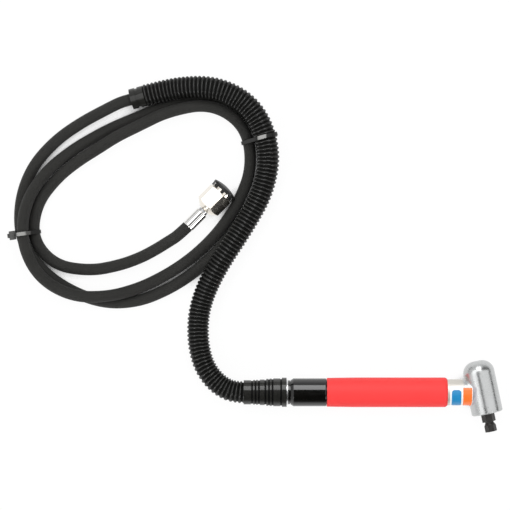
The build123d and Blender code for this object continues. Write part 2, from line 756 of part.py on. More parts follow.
with BuildPart() as collet_nut:
    hexagon(head_plane, nut_top, nut_end, nut_flats)
    turn(head_plane, [
        (nut_top, nut_cone_d / 2),
        (nut_top + nut_cone, nut_corner),
        (nut_top + nut_cone, nut_flats),
        (nut_top, nut_flats),
    ], Mode.SUBTRACT)
    nut_bore_r = thread_d / 2 + run_gap
    nut_mouth_r = collet_d / 2 + run_gap
    turn(head_plane, [
        (nut_top, 0),
        (nut_top, nut_bore_r),
        (thread_end + run_gap, nut_bore_r),
        (collet_end + run_gap, nut_mouth_r),
        (nut_end, nut_mouth_r),
        (nut_end, 0),
    ], Mode.SUBTRACT)
save(collet_nut.part, "collet_nut")

# Cuff of the exhaust hose: a stepped, ribbed moulding on the spigot, with a socket for the hose
crest_r = exhaust_crest_d / 2
cuff_bands = [(start, end, spigot_d + 2 * rise) for start, end, rise in cuff_front_bands]
cuff_bands += [(start, end, exhaust_crest_d + 2 * rise) for start, end, rise in cuff_rear_bands]
with BuildPart() as exhaust_cuff:
    for start, end, width in cuff_bands:
        ring(body_plane, cuff_front - end, cuff_front - start, 0, width / 2)
    for before, after in zip(cuff_bands, cuff_bands[1:]):
        groove_r = min(before[2], after[2]) / 2 - cuff_groove
        ring(body_plane, cuff_front - after[0], cuff_front - before[1], 0, groove_r)
    ring(body_plane, spigot_rear, cuff_front, 0, spigot_d / 2 + fit_gap, Mode.SUBTRACT)
    ring(body_plane, cuff_rear + cuff_socket, spigot_rear, 0, exhaust_bore_d / 2, Mode.SUBTRACT)
    ring(body_plane, cuff_rear, cuff_rear + cuff_socket, 0, crest_r + fit_gap, Mode.SUBTRACT)
save(exhaust_cuff.part, "exhaust_cuff")

# Route of the exhaust hose: out of the cuff, round under the tool, up over the coil, down to its collar
route_start = body_plane.from_local_coords(Vector(cuff_rear + cuff_socket, 0, 0))
exhaust_route = [
    route_start,
    Vector(-143.1, cross_y, cross_z),
    Vector(-159.3, 12.2, 13.8),
    Vector(-171.5, 27.3, 12.4),
    Vector(-178.1, 45.0, 11.4),
    Vector(-180.6, 65.1, 11.4),
    Vector(-179.3, 85.2, 12.8),
    Vector(-173.5, 103.8, 16.0),
    Vector(-165.1, 120.9, 19.6),
    Vector(-154.8, 138.6, 22.2),
    Vector(-143.6, 156.2, 22.8),
    Vector(-132.3, 174.8, 22.8),
    Vector(-122.0, 193.9, 22.8),
    Vector(-114.7, 213.5, 23.2),
    Vector(-111.2, 233.1, 24.0),
    Vector(-113.7, 252.3, 24.4),
    Vector(-121.0, 270.4, 24.2),
    Vector(-132.8, 285.1, 23.6),
    Vector(-148.5, 295.6, 23.2),
    Vector(-167.1, 301.4, 22.6),
    Vector(-187.2, 302.8, 19.8),
    Vector(-212.2, 300.4, 13.8),
    Vector(-233.2, 294.8, 11.9),
]


def corner_radii(route):
    """The largest arc that each corner's two runs allow."""
    radii = []
    for before, corner, after in zip(route, route[1:], route[2:]):
        shorter = min((corner - before).length, (after - corner).length)
        half_turn = radians((corner - before).get_angle(after - corner)) / 2
        radii.append(corner_share * shorter / tan(half_turn))
    return radii


exhaust_radii = corner_radii(exhaust_route)
print("exhaust hose radii", [round(radius) for radius in exhaust_radii])
with BuildLine() as exhaust_path:
    FilletPolyline(*exhaust_route, radius=exhaust_radii)
exhaust_line = exhaust_path.wires()[0]
exhaust_length = exhaust_line.length
print("exhaust hose length", round(exhaust_length, 1), "pitch", round(exhaust_length / rib_count, 2))


def hose_circle(line, share, radius):
    """A circle square to a hose at a share of its length, its X axis kept upright."""
    with BuildSketch(Plane(line.position_at(share), x_dir=(0, 0, 1), z_dir=line.tangent_at(share))) as disc:
        Circle(radius)
    return disc.sketch


# Ribbed exhaust hose: four circles to a rib, and its bore
with BuildPart() as exhaust_hose:
    valley_r = exhaust_valley_d / 2
    rib_steps = ((0, valley_r), (rib_flank, crest_r), (rib_flank + rib_crest, crest_r),
                 (2 * rib_flank + rib_crest, valley_r))
    rings = []
    for rib in range(rib_count):
        for step, radius in rib_steps:
            rings.append(hose_circle(exhaust_line, (rib + step) / rib_count, radius))
    rings.append(hose_circle(exhaust_line, 1, valley_r))
    loft(rings, ruled=True)
    bore_shares = [step / bore_steps for step in range(bore_steps + 1)]
    bore = [hose_circle(exhaust_line, share, exhaust_bore_d / 2) for share in bore_shares]
    loft(bore, ruled=True, mode=Mode.SUBTRACT)
save(exhaust_hose.part, "exhaust_hose")

# Collar at the exhaust hose's end: two bands, a spigot in the hose and vents round the air hose
exhaust_end = exhaust_route[-1]
collar_dir = (exhaust_end - exhaust_route[-2]).normalized()
collar_plane = Plane(origin=exhaust_end, x_dir=collar_dir, z_dir=Vector(0, 0, 1) - collar_dir * collar_dir.Z)
with BuildPart() as exhaust_collar:
    collar_r = collar_d / 2
    ring(collar_plane, 0, collar_length, 0, collar_r - collar_groove)
    ring(collar_plane, 0, collar_band, 0, collar_r)
    ring(collar_plane, collar_length - collar_band, collar_length, 0, collar_r)
    ring(collar_plane, -collar_spigot, 0, 0, exhaust_bore_d / 2 - collar_spigot_gap)
    wall_start = collar_length - collar_wall
    ring(collar_plane, -collar_spigot, wall_start, 0, hose_r + collar_air_gap, Mode.SUBTRACT)
    ring(collar_plane, wall_start, collar_length, 0, hose_r + fit_gap, Mode.SUBTRACT)
    with BuildSketch(across(collar_plane, collar_length)) as vents:
        with PolarLocations((hose_r + collar_r) / 2, vent_count):
            Circle(vent_d / 2)
    extrude(vents.sketch, amount=-collar_wall, mode=Mode.SUBTRACT)
save(exhaust_collar.part, "exhaust_collar")

# Air hose inside the exhaust hose, from the inlet's barb to the collar
collar_face = exhaust_end + collar_dir * collar_length
inner_start = body_plane.from_local_coords(Vector(hex_rear, 0, 0))
inner_route = [inner_start, *exhaust_route[1:-1], collar_face]
with BuildPart() as air_hose_inner:
    with BuildLine() as inner_path:
        FilletPolyline(*inner_route, radius=corner_radii(inner_route))
    inner_line = inner_path.wires()[0]
    loft([hose_circle(inner_line, share, hose_r) for share in bore_shares], ruled=True)
    ring(body_plane, barb_rear, hex_rear, 0, barb_d / 2 + fit_gap, Mode.SUBTRACT)
save(air_hose_inner.part, "air_hose_inner")

# Coiled air hose: reach from the coil's centre and height of the hose's middle, turn by turn,
# at evenly spaced bearings from the first
coil_x = -239.1
coil_y = 189.0
coil_first_bearing = 108
coil_turn_steps = 20
coil_reach = [
    [99.7, 98.5, 102, 109.3, 115, 119, 114.4, 107, 102, 96, 90, 88, 90.4, 98.9, 112, 128.8, 138, 130, 102, 85],
    [79, 78, 84, 96, 110.3, 119, 119.6, 110, 96, 83, 76, 75, 78.3, 86, 98.4, 115.2, 125.4, 116, 93, 76],
    [71, 67, 71.3, 83, 98.2, 107.2, 100.5, 81, 64, 55, 50.2, 49.3],
]
coil_height = [
    [10.0, 7.0, 5.8, 5.8, 6.8, 7.4, 6.4, 5.8, 5.8, 5.8, 5.8, 5.8, 5.8, 5.8, 5.8, 6.9, 7.4, 6.2, 5.8, 5.8],
    [5.8, 5.8, 5.8, 10.2, 17.6, 19.2, 17.8, 17.4, 17.2, 9.4,
     5.8, 5.8, 5.8, 5.8, 5.8, 7.0, 7.8, 13.2, 17.4, 16.4],
    [15.4, 12.8, 9.4, 6.4, 6.8, 7.4, 6.4, 5.8, 5.8, 6.0, 8.6, 12.2],
]
hose_end = Vector(hose_end_x, hose_end_y, hose_end_z)
ferrule_grip = ferrule_length - ferrule_lip
coil_start = collar_face + collar_dir * hose_end_straight
coil_points = [collar_face, coil_start]
for turn_number, (reaches, heights) in enumerate(zip(coil_reach, coil_height)):
    for step, (reach, height) in enumerate(zip(reaches, heights)):
        bearing_angle = radians(coil_first_bearing + 360 * (turn_number + step / coil_turn_steps))
        across_x = reach * cos(bearing_angle)
        across_y = reach * sin(bearing_angle)
        coil_points.append(Vector(coil_x + across_x, coil_y + across_y, height))
coil_end = hose_end - hose_end_dir * hose_end_straight
coil_points += [coil_end, hose_end + hose_end_dir * ferrule_grip]


def heading(points, index):
    """Direction of the hose at one of its points; its two ends are straight."""
    if index <= 1:
        return (points[1] - points[0]).normalized()
    if index >= len(points) - 2:
        return (points[-1] - points[-2]).normalized()
    before = (points[index] - points[index - 1])
    after = (points[index + 1] - points[index])
    blend = before.normalized() * after.length + after.normalized() * before.length
    return blend.normalized()


def biarc(start, start_dir, end, end_dir):
    """Two tangent arcs from one point and direction to the next; returns their radii."""
    chord = end - start
    square = 2 * (1 - start_dir.dot(end_dir))
    linear = 2 * chord.dot(start_dir + end_dir)
    constant = -chord.dot(chord)
    if square < 1e-9:
        reach = -constant / linear
    else:
        reach = (sqrt(linear ** 2 - 4 * square * constant) - linear) / (2 * square)
    joint = (start + end + (start_dir - end_dir) * reach) * 0.5
    joint_dir = (end - end_dir * reach - start - start_dir * reach).normalized()
    first = TangentArc(start, joint, tangent=start_dir)
    second = TangentArc(joint, end, tangent=joint_dir)
    return first.radius, second.radius


with BuildPart() as air_hose:
    coil_radii = []
    with BuildLine() as coil_path:
        Line(coil_points[0], coil_points[1])
        for index in range(1, len(coil_points) - 2):
            coil_radii += biarc(
                coil_points[index],
                heading(coil_points, index),
                coil_points[index + 1],
                heading(coil_points, index + 1),
            )
        Line(coil_points[-2], coil_points[-1])
    with BuildSketch(Plane(collar_face, z_dir=collar_dir)):
        Circle(hose_r)
    sweep()
    ring(hose_end_plane, 0, ferrule_grip, 0, stem_d / 2 + fit_gap, Mode.SUBTRACT)
save(air_hose.part, "air_hose")

# Least gap of the air hose to itself and to the exhaust hose, measured on points
coil_line = coil_path.wires()[0]
coil_length = coil_line.length
sample_count = 500
samples = [coil_line.position_at(step / sample_count) for step in range(sample_count + 1)]
apart = int(4 * air_hose_d / coil_length * sample_count)
coil_gap = min(
    (samples[first] - samples[second]).length - air_hose_d
    for first in range(sample_count)
    for second in range(first + apart, sample_count + 1)
)
print("air hose coil length", round(coil_length), "inner length", round(inner_line.length))
print("air hose least radius", round(min(coil_radii), 1), "least gap to itself", round(coil_gap, 2))

# Ferrule, stem, swivel nut and dust cap at the air hose's end
with BuildPart() as hose_ferrule:
    ferrule_r = hose_r + ferrule_wall
    turn(hose_end_plane, [
        (0, hose_r + fit_gap),
        (0, ferrule_r - ferrule_edge),
        (ferrule_edge, ferrule_r),
        (ferrule_length - ferrule_edge, ferrule_r),
        (ferrule_length, ferrule_r - ferrule_edge),
        (ferrule_length, stem_d / 2 + fit_gap),
        (ferrule_grip, stem_d / 2 + fit_gap),
        (ferrule_grip, hose_r + fit_gap),
    ])
save(hose_ferrule.part, "hose_ferrule")

swivel_start = ferrule_length + ferrule_gap
swivel_inner = swivel_start + swivel_wall
swivel_end = swivel_start + swivel_length
lip_end = swivel_end + swivel_lip
with BuildPart() as hose_stem:
    flange_start = swivel_inner + end_gap
    flange_end = flange_start + stem_flange
    stem_r = stem_d / 2
    turn(hose_end_plane, [
        (0, 0),
        (0, stem_r),
        (ferrule_length, stem_r),
        (ferrule_length, stem_collar_d / 2),
        (swivel_start - end_gap, stem_collar_d / 2),
        (swivel_start - end_gap, stem_r),
        (flange_start, stem_r),
        (flange_start, stem_flange_d / 2),
        (flange_end, stem_flange_d / 2),
        (flange_end + stem_cone, stem_r),
        (flange_end + stem_cone, 0),
    ])
    ring(hose_end_plane, 0, swivel_end, 0, barb_bore_d / 2, Mode.SUBTRACT)
save(hose_stem.part, "hose_stem")

swivel_corner = swivel_flats / sqrt(3)
with BuildPart() as swivel_nut:
    hexagon(hose_end_plane, swivel_start, swivel_end, swivel_flats, turned=swivel_turn)
    turn(hose_end_plane, [
        (swivel_start, swivel_cone_d / 2),
        (swivel_start + swivel_cone, swivel_corner),
        (swivel_start + swivel_cone, swivel_flats),
        (swivel_start, swivel_flats),
    ], Mode.SUBTRACT)
    turn(hose_end_plane, [
        (swivel_end, swivel_flats / 2),
        (swivel_end - swivel_chamfer, swivel_corner),
        (swivel_end - swivel_chamfer, swivel_flats),
        (swivel_end, swivel_flats),
    ], Mode.SUBTRACT)
    ring(hose_end_plane, swivel_end, lip_end, 0, swivel_lip_d / 2)
    ring(hose_end_plane, swivel_start, swivel_inner, 0, stem_r + run_gap, Mode.SUBTRACT)
    ring(hose_end_plane, swivel_inner, lip_end, 0, swivel_thread_d / 2, Mode.SUBTRACT)
save(swivel_nut.part, "swivel_nut")

# Dust cap: a plug in the nut's mouth, a domed flange and tabs round the nut's lip
tab_start = swivel_end + end_gap
cap_start = lip_end + end_gap
rim_end = cap_start + cap_flange
with BuildPart() as dust_cap:
    with BuildSketch(hose_end_plane):
        with BuildLine():
            Polyline(
                (rim_end + cap_dome, 0),
                (cap_start - cap_floor, 0),
                (cap_start - cap_floor, cap_plug_d / 2 - cap_wall),
                (cap_start - cap_plug_length, cap_plug_d / 2 - cap_wall),
                (cap_start - cap_plug_length, cap_plug_d / 2),
                (cap_start, cap_plug_d / 2),
                (cap_start, cap_flange_d / 2),
                (rim_end, cap_flange_d / 2),
            )
            TangentArc((rim_end + cap_dome, 0), (rim_end, cap_flange_d / 2), tangent=(0, 1))
        make_face()
    revolve(axis=Axis(hose_end_plane.origin, hose_end_plane.x_dir))
    tab_r = swivel_lip_d / 2 + cap_tab_gap
    ring(hose_end_plane, tab_start, cap_start, tab_r, tab_r + cap_tab_thick)
    with BuildSketch(across(hose_end_plane, tab_start)) as notches:
        with PolarLocations(tab_r + cap_tab_thick / 2, cap_tabs, start_angle=cap_notch_first):
            Rectangle(2 * cap_tab_thick, cap_notch)
    extrude(notches.sketch, amount=cap_start - tab_start, mode=Mode.SUBTRACT)
save(dust_cap.part, "dust_cap")


def strand_places(plane, line, radius):
    """Where a hose passes through a plane, as (place, radius) on it."""
    places = []
    points = [plane.to_local_coords(line.position_at(step / tie_samples)) for step in range(tie_samples + 1)]
    for before, after in zip(points, points[1:]):
        if before.Z * after.Z <= 0 and abs(before.X) < tie_search:
            place = before + (after - before) * (before.Z / (before.Z - after.Z))
            places.append(((place.X, place.Y), radius))
    return places


def tie_plane(x, y, strand_heading):
    """An upright plane square to the strands that a tie holds."""
    run = Vector(cos(radians(strand_heading)), sin(radians(strand_heading)), 0)
    return Plane(origin=(x, y, 0), x_dir=Vector(0, 0, 1).cross(run), z_dir=run)


def head_place(low, high):
    """Middle of the strap's straight run past two strands, and its outward bearing in degrees."""
    low_r = low[1] + tie_gap
    high_r = high[1] + tie_gap
    way = Vector(*high[0]) - Vector(*low[0])
    along = way.normalized()
    sideways = Vector(-along.Y, along.X)
    lean = (low_r - high_r) / way.length
    outward = along * lean + sideways * sqrt(1 - lean ** 2)
    middle = (Vector(*low[0]) + outward * low_r + Vector(*high[0]) + outward * high_r) * 0.5
    return Location((middle.X, middle.Y), degrees(atan2(outward.Y, outward.X)))


def cable_tie(plane, strands, low, high, name):
    """A strap drawn round strands, with its head on the strap between two of them."""
    with BuildSketch(plane) as inside:
        with BuildLine():
            for place, radius in strands:
                CenterArc(place, radius + tie_gap, 0, 360)
        make_hull()
    with BuildPart() as tie:
        with BuildSketch(plane) as strap:
            add(inside.sketch_local)
            offset(amount=tie_thick)
        extrude(strap.sketch, amount=tie_width / 2, both=True)
        with BuildSketch(plane) as head:
            with Locations(head_place(low, high)):
                Rectangle(tie_head, tie_head_wide, align=(Align.MIN, Align.CENTER))
        extrude(head.sketch, amount=tie_head_long / 2, both=True)
        extrude(inside.sketch, amount=tie_head_long, both=True, mode=Mode.SUBTRACT)
    save(tie.part, name)


# Cable ties: one round the three strands of the coil's far side, one round both hoses
left_tie_plane = tie_plane(left_tie_x, left_tie_y, left_tie_heading)
left_strands = strand_places(left_tie_plane, coil_line, hose_r)
cable_tie(left_tie_plane, left_strands, left_strands[0], left_strands[1], "cable_tie_left")

right_tie_plane = tie_plane(right_tie_x, right_tie_y, right_tie_heading)
right_strands = strand_places(right_tie_plane, coil_line, hose_r)
right_strands += strand_places(right_tie_plane, exhaust_line, crest_r)
cable_tie(right_tie_plane, right_strands, right_strands[0], right_strands[-1], "cable_tie_right")
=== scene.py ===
# %% [markdown]
# # A right angle air grinder on its hoses
#
# This lesson dresses a small air grinder that lies on a white table. Its alloy head, red grip and
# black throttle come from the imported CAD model. The two hoses, which are soft, are drawn again here
# along smooth splines. Every surface gets a finish that is made of nodes.

# %% Load the CAD model as the frame
from math import cos, pi, radians, sin, sqrt

import bpy
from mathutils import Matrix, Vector


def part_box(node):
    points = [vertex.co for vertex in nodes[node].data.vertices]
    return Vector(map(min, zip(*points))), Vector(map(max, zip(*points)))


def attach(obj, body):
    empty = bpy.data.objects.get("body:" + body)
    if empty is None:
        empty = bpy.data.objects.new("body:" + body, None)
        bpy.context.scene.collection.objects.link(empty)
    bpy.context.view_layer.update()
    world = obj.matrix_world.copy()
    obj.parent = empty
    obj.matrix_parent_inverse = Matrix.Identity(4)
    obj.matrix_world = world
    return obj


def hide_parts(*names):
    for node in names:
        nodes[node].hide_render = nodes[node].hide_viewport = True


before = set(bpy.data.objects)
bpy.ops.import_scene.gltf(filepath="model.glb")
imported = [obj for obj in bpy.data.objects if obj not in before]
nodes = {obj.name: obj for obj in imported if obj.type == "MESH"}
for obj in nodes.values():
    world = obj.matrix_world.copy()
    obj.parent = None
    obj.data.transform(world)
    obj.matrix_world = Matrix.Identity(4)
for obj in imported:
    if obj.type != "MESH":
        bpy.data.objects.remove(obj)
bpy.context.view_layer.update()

MM = 0.001

# %% [markdown]
# ## The camera
#
# The picture is a straight look down from far away. A camera without any perspective would be near
# it, and a long lens keeps the little that a real one has. One pixel of the picture is 0.98 mm on
# the table, which sets both the height of the camera and the point that it stands over.

# %% Camera straight above the table
picture_pixels = 510
pixel_size = 0.98 * MM
view_x = -124.87 * MM
view_y = 138.5 * MM
tool_z = 15.35
long_lens = 200
film_width = 36
farthest_seen = 20

camera = bpy.data.objects.new("camera", bpy.data.cameras.new("camera"))
bpy.context.scene.collection.objects.link(camera)
camera.data.lens = long_lens
camera.data.sensor_width = film_width
camera.data.clip_end = farthest_seen
camera_height = picture_pixels * pixel_size * long_lens / film_width
camera.location = (view_x, view_y, tool_z * MM + camera_height)
bpy.context.scene.camera = camera
bpy.context.scene.view_settings.view_transform = "Standard"
print("camera stands", round(camera_height, 2), "m above the tool")

# %% [markdown]
# ## A small language for finishes
#
# A finish could be wired up node by node, but shader maths is easier to read as Python than as a
# web of nodes. `Value` wraps one socket, and adding or multiplying two of them puts a Math node
# between them.


# %% Value
class Value:
    """An output socket that can be used in arithmetic."""

    def __init__(self, finish, socket):
        self.finish = finish
        self.socket = socket

    def math(self, operation, *others):
        inputs = {0: self, **dict(enumerate(others, 1))}
        return self.finish.node("ShaderNodeMath", {"operation": operation}, inputs)

    def __add__(self, other):
        return self.math("ADD", other)

    def __sub__(self, other):
        return self.math("SUBTRACT", other)

    def __mul__(self, other):
        return self.math("MULTIPLY", other)

    def __rsub__(self, other):
        return self.math("MULTIPLY", -1.0) + other

    __radd__ = __add__
    __rmul__ = __mul__

    def between(self, low, high):
        """A smooth step from nought at low to one at high."""
        return self.finish.node(
            "ShaderNodeMapRange",
            {"interpolation_type": "SMOOTHSTEP"},
            {"Value": self, "From Min": low, "From Max": high},
        )


print("sockets can be added, subtracted and multiplied")

# %% [markdown]
# ## One material, one shader
#
# `Finish` holds one material and its Principled shader, and its `node` method makes every other kind
# of node. Patterns are placed by a Mapping node of the texture kind, which reads as where the
# pattern starts, how it is turned and how large one unit of it is. Image textures would need each
# piece to be unwrapped; patterns in Object coordinates lie on any piece as it is.


# %% Finish
class Finish:
    """A material round one Principled shader. Sockets that stay constant are given by name."""

    def __init__(self, name, **constants):
        self.material = bpy.data.materials.new(name)
        self.material.use_nodes = True
        self.tree = self.material.node_tree
        self.shader = self.tree.nodes["Principled BSDF"]
        for socket, value in constants.items():
            self.shader.inputs[socket.replace("_", " ")].default_value = value

    def node(self, kind, settings, inputs, output=0):
        """Add a node: its settings first, then its sockets' values or links."""
        made = self.tree.nodes.new(kind)
        for name, value in settings.items():
            setattr(made, name, value)
        for name, value in inputs.items():
            self.feed(made.inputs[name], value)
        return Value(self, made.outputs[output])

    def feed(self, socket, value):
        if isinstance(value, Value):
            self.tree.links.new(value.socket, socket)
        else:
            socket.default_value = value

    def set(self, name, value):
        """Link a varying value to a socket of the shader."""
        self.feed(self.shader.inputs[name], value)

    def place(self, at=(0, 0, 0), turn=(0, 0, 0), size=(1, 1, 1), source="Object"):
        """Coordinates in a pattern's own frame: its start, its turn and the size of its unit."""
        where = self.node("ShaderNodeTexCoord", {}, {}, source)
        return self.node(
            "ShaderNodeMapping",
            {"vector_type": "TEXTURE"},
            {"Vector": where, "Location": at, "Rotation": turn, "Scale": size},
        )

    def axes(self, where):
        """The X, Y and Z of a coordinate as three values."""
        return [self.node("ShaderNodeSeparateXYZ", {}, {"Vector": where}, axis) for axis in "XYZ"]

    def noise(self, where, detail=3.0):
        """A cloud of about one unit, from nought to one."""
        return self.node("ShaderNodeTexNoise", {}, {"Vector": where, "Scale": 1.0, "Detail": detail})

    def mottle(self, width, detail=3.0):
        """A cloud of the same width in all directions, in metres."""
        return self.noise(self.place(size=(width, width, width)), detail)

    def mix(self, share, first, second):
        """A colour between two others, which a Mix node takes on its sockets 6 and 7 and gives on 2."""
        return self.node("ShaderNodeMix", {"data_type": "RGBA"}, {0: share, 6: first, 7: second}, 2)

    def soft_edge(self, radius):
        """The normal of a surface whose sharp edges are rounded by a radius."""
        return self.node("ShaderNodeBevel", {"samples": 6}, {"Radius": radius})

    def edge_share(self, radius):
        """One along sharp edges and nought on open faces, from how far rounding turns the normal."""
        edge_cosine = 0.86
        face_cosine = 0.99
        flat = self.node("ShaderNodeNewGeometry", {}, {}, "Normal")
        both = {0: self.soft_edge(radius), 1: flat}
        same = self.node("ShaderNodeVectorMath", {"operation": "DOT_PRODUCT"}, both, "Value")
        return 1 - same.between(edge_cosine, face_cosine)

    def bump(self, height, depth, edge_radius=0.0):
        """Raise the surface by a height of nought to one times a depth in metres."""
        inputs = {"Height": height, "Distance": depth, "Strength": 1.0}
        if edge_radius:
            inputs["Normal"] = self.soft_edge(edge_radius)
        self.set("Normal", self.node("ShaderNodeBump", {}, inputs))


print("a finish can place clouds, mix colours, round edges and raise bumps")

# %% [markdown]
# ## Colours and dressing
#
# A colour in Blender is four numbers, of which the last is how solid it is. `dress` puts a finish on
# pieces of the CAD model by their names and leaves their meshes as they are.


# %% Colours and dressing
def rgb(red, green, blue):
    """A solid colour."""
    return (red, green, blue, 1.0)


def grey(level):
    """A solid grey between black at nought and white at one."""
    return rgb(level, level, level)


def dress(finish, *names):
    """Give a finish to CAD pieces."""
    for name in names:
        for slot in nodes[name].material_slots:
            slot.material = finish.material
    print(finish.material.name, "on", ", ".join(names))


print("pieces to dress:", len(nodes))

# %% [markdown]
# ## Table
#
# The table is white for the camera and in reflections, through the Light Path node, and keeps a
# faint shadow of the tool. More light would make it white as well, but would bleach the tool. In
# the narrow gaps between strands of hose, which the Ambient Occlusion node finds, it shows its lit
# paint, and that paint is painted darker there as shade, so these gaps are as dark as real ones.

# %% White table
table_size = 8
floor_drop = 0.4 * MM
bpy.ops.object.select_all(action="DESELECT")
bpy.ops.mesh.primitive_plane_add(size=table_size, location=(view_x, view_y, -floor_drop))
floor = bpy.context.object
floor.name = "table"
bpy.ops.object.transform_apply(location=True, rotation=True, scale=True)
print("table at", round(-floor_drop / MM, 1), "mm")

# %% Paint of the table
shadow_share = 0.10
white_level = 1.03
gap_depth = 17 * MM
closed_gap = 0.15
open_gap = 0.42
# painted shade: the table's paint is darker in the narrow gaps between strands
painted_gap_shade = grey(0.2)
pale_paint = grey(0.85)

table_finish = Finish("table_white", Roughness=0.9)
seen, mirrored, passed = [
    table_finish.node("ShaderNodeLightPath", {}, {}, kind)
    for kind in ("Is Camera Ray", "Is Glossy Ray", "Is Transmission Ray")
]
openness = table_finish.node(
    "ShaderNodeAmbientOcclusion", {"samples": 8}, {"Distance": gap_depth}, "AO"
)
is_open = openness.between(closed_gap, open_gap)
table_finish.set("Base Color", table_finish.mix(is_open, painted_gap_shade, pale_paint))
paint = Value(table_finish, table_finish.shader.outputs[0])
glow = table_finish.node("ShaderNodeEmission", {}, {"Color": grey(1), "Strength": white_level})
table_rays = seen.math("MAXIMUM", mirrored).math("MAXIMUM", passed)
glow_share = table_rays * is_open * (1 - shadow_share)
shown = table_finish.node("ShaderNodeMixShader", {}, {0: glow_share, 1: paint, 2: glow})
table_output = table_finish.tree.nodes["Material Output"]
table_finish.feed(table_output.inputs["Surface"], shown)
floor.data.materials.append(table_finish.material)
print(table_finish.material.name, "on", floor.name)

# %% [markdown]
# ## Sky
#
# Polished metal shows what stands round it. This sky is white at the far and left horizon and dark
# overhead and towards the near right, which gives the metal its rims and its dark stripe. A picture
# of a studio would do the same; a smooth step along one direction has only a few numbers to set.

# %% Sky
white_light = 0.75
dark_light = 0.03
dark_way = (0.55, -0.30, 0.9)
white_until = -0.05
dark_from = 0.70

sky = bpy.data.worlds.new("sky")
sky.use_nodes = True
bpy.context.scene.world = sky
sky_tree = sky.node_tree
ray_way = sky_tree.nodes.new("ShaderNodeTexCoord")
toward_dark = sky_tree.nodes.new("ShaderNodeVectorMath")
toward_dark.operation = "DOT_PRODUCT"
toward_dark.inputs[1].default_value = dark_way
sky_level = sky_tree.nodes.new("ShaderNodeMapRange")
sky_level.interpolation_type = "SMOOTHSTEP"
sky_level.inputs["From Min"].default_value = white_until
sky_level.inputs["From Max"].default_value = dark_from
sky_level.inputs["To Min"].default_value = white_light
sky_level.inputs["To Max"].default_value = dark_light
background = sky_tree.nodes["Background"]
background.inputs["Color"].default_value = grey(1)
sky_tree.links.new(ray_way.outputs["Generated"], toward_dark.inputs[0])
sky_tree.links.new(toward_dark.outputs["Value"], sky_level.inputs["Value"])
sky_tree.links.new(sky_level.outputs[0], background.inputs["Strength"])
print("sky from", white_light, "to", dark_light)

# %% [markdown]
# ## Lights
#
# A tall softbox beyond the tool draws a long light band on everything round. Two panels hang left
# and right above the table and leave a gap over the tool, and two lamps on the near side even out
# the light. The handle lies from left to right, so it mirrors the softbox and neither the panels
# nor the lamps. Small bright lamps would leave hard spots, so all five are broad areas.


# %% Softboxes
def softbox(name, place, target, width, length, watts):
    """A rectangular light at a place, turned towards a target, in metres."""
    light = bpy.data.lights.new(name, "AREA")
    light.shape = "RECTANGLE"
    light.size = width
    light.size_y = length
    light.energy = watts
    lamp = bpy.data.objects.new(name, light)
    bpy.context.scene.collection.objects.link(lamp)
    lamp.location = place
    lamp.rotation_euler = (Vector(target) - Vector(place)).to_track_quat("-Z", "Y").to_euler()
    return lamp


aim = (-0.02, 0.0, 0.0)
below_left_panel = (-0.92, 0.225, 0.0)
below_right_panel = (0.18, 0.10, -0.425)
lights = [
    softbox("key_softbox", (-0.02, 0.83, 0.90), aim, width=0.5, length=0.85, watts=5.6),
    softbox("left_lamp", (-0.95, -0.90, 0.75), aim, width=0.45, length=0.45, watts=6.0),
    softbox("right_lamp", (0.80, -0.90, 0.75), aim, width=0.45, length=0.45, watts=6.0),
    softbox("left_panel", (-0.92, 0.225, 1.2), below_left_panel, width=1.2, length=1.45, watts=8.0),
    softbox("right_panel", (0.83, 0.10, 0.875), below_right_panel, width=1.0, length=1.8, watts=6.2),
]
print("lights:", ", ".join(lamp.name for lamp in lights))

# %% [markdown]
# ## Routes of the hoses
#
# Both hoses start from the points of the CAD model, which were moved until each strand lay where
# the picture has it. A NURBS spline takes them as control points and gives one smooth line, with no
# handles to set as on a Bezier curve. The spline runs a little inside its points, so the coil's
# points stand out from its centre by a small factor.

# %% Points of the exhaust hose, in millimetres
tool_x = 98.5596
tool_y = 3.9566
exhaust_points = [
    (-121.94, tool_y, tool_z),
    (-143.1, 3.0, tool_z),
    (-160.2, 10.6, 13.8),
    (-173.3, 26.2, 12.4),
    (-179.4, 44.6, 11.4),
    (-181.2, 65.1, 11.4),
    (-179.3, 85.2, 12.8),
    (-173.2, 103.8, 16.0),
    (-164.9, 120.9, 19.6),
    (-154.4, 138.4, 22.2),
    (-142.7, 155.9, 22.8),
    (-131.1, 174.6, 22.8),
    (-120.3, 194.0, 22.8),
    (-113.8, 213.7, 23.2),
    (-111.2, 233.1, 24.0),
    (-113.7, 252.3, 24.4),
    (-120.6, 270.7, 24.2),
    (-132.1, 285.8, 23.6),
    (-147.9, 296.4, 23.2),
    (-166.4, 302.5, 22.6),
    (-187.0, 303.3, 19.8),
    (-212.2, 300.4, 13.8),
    (-233.2, 294.8, 11.9),
]
exhaust_points = [Vector(point) for point in exhaust_points]
print("control points of the exhaust hose:", len(exhaust_points))

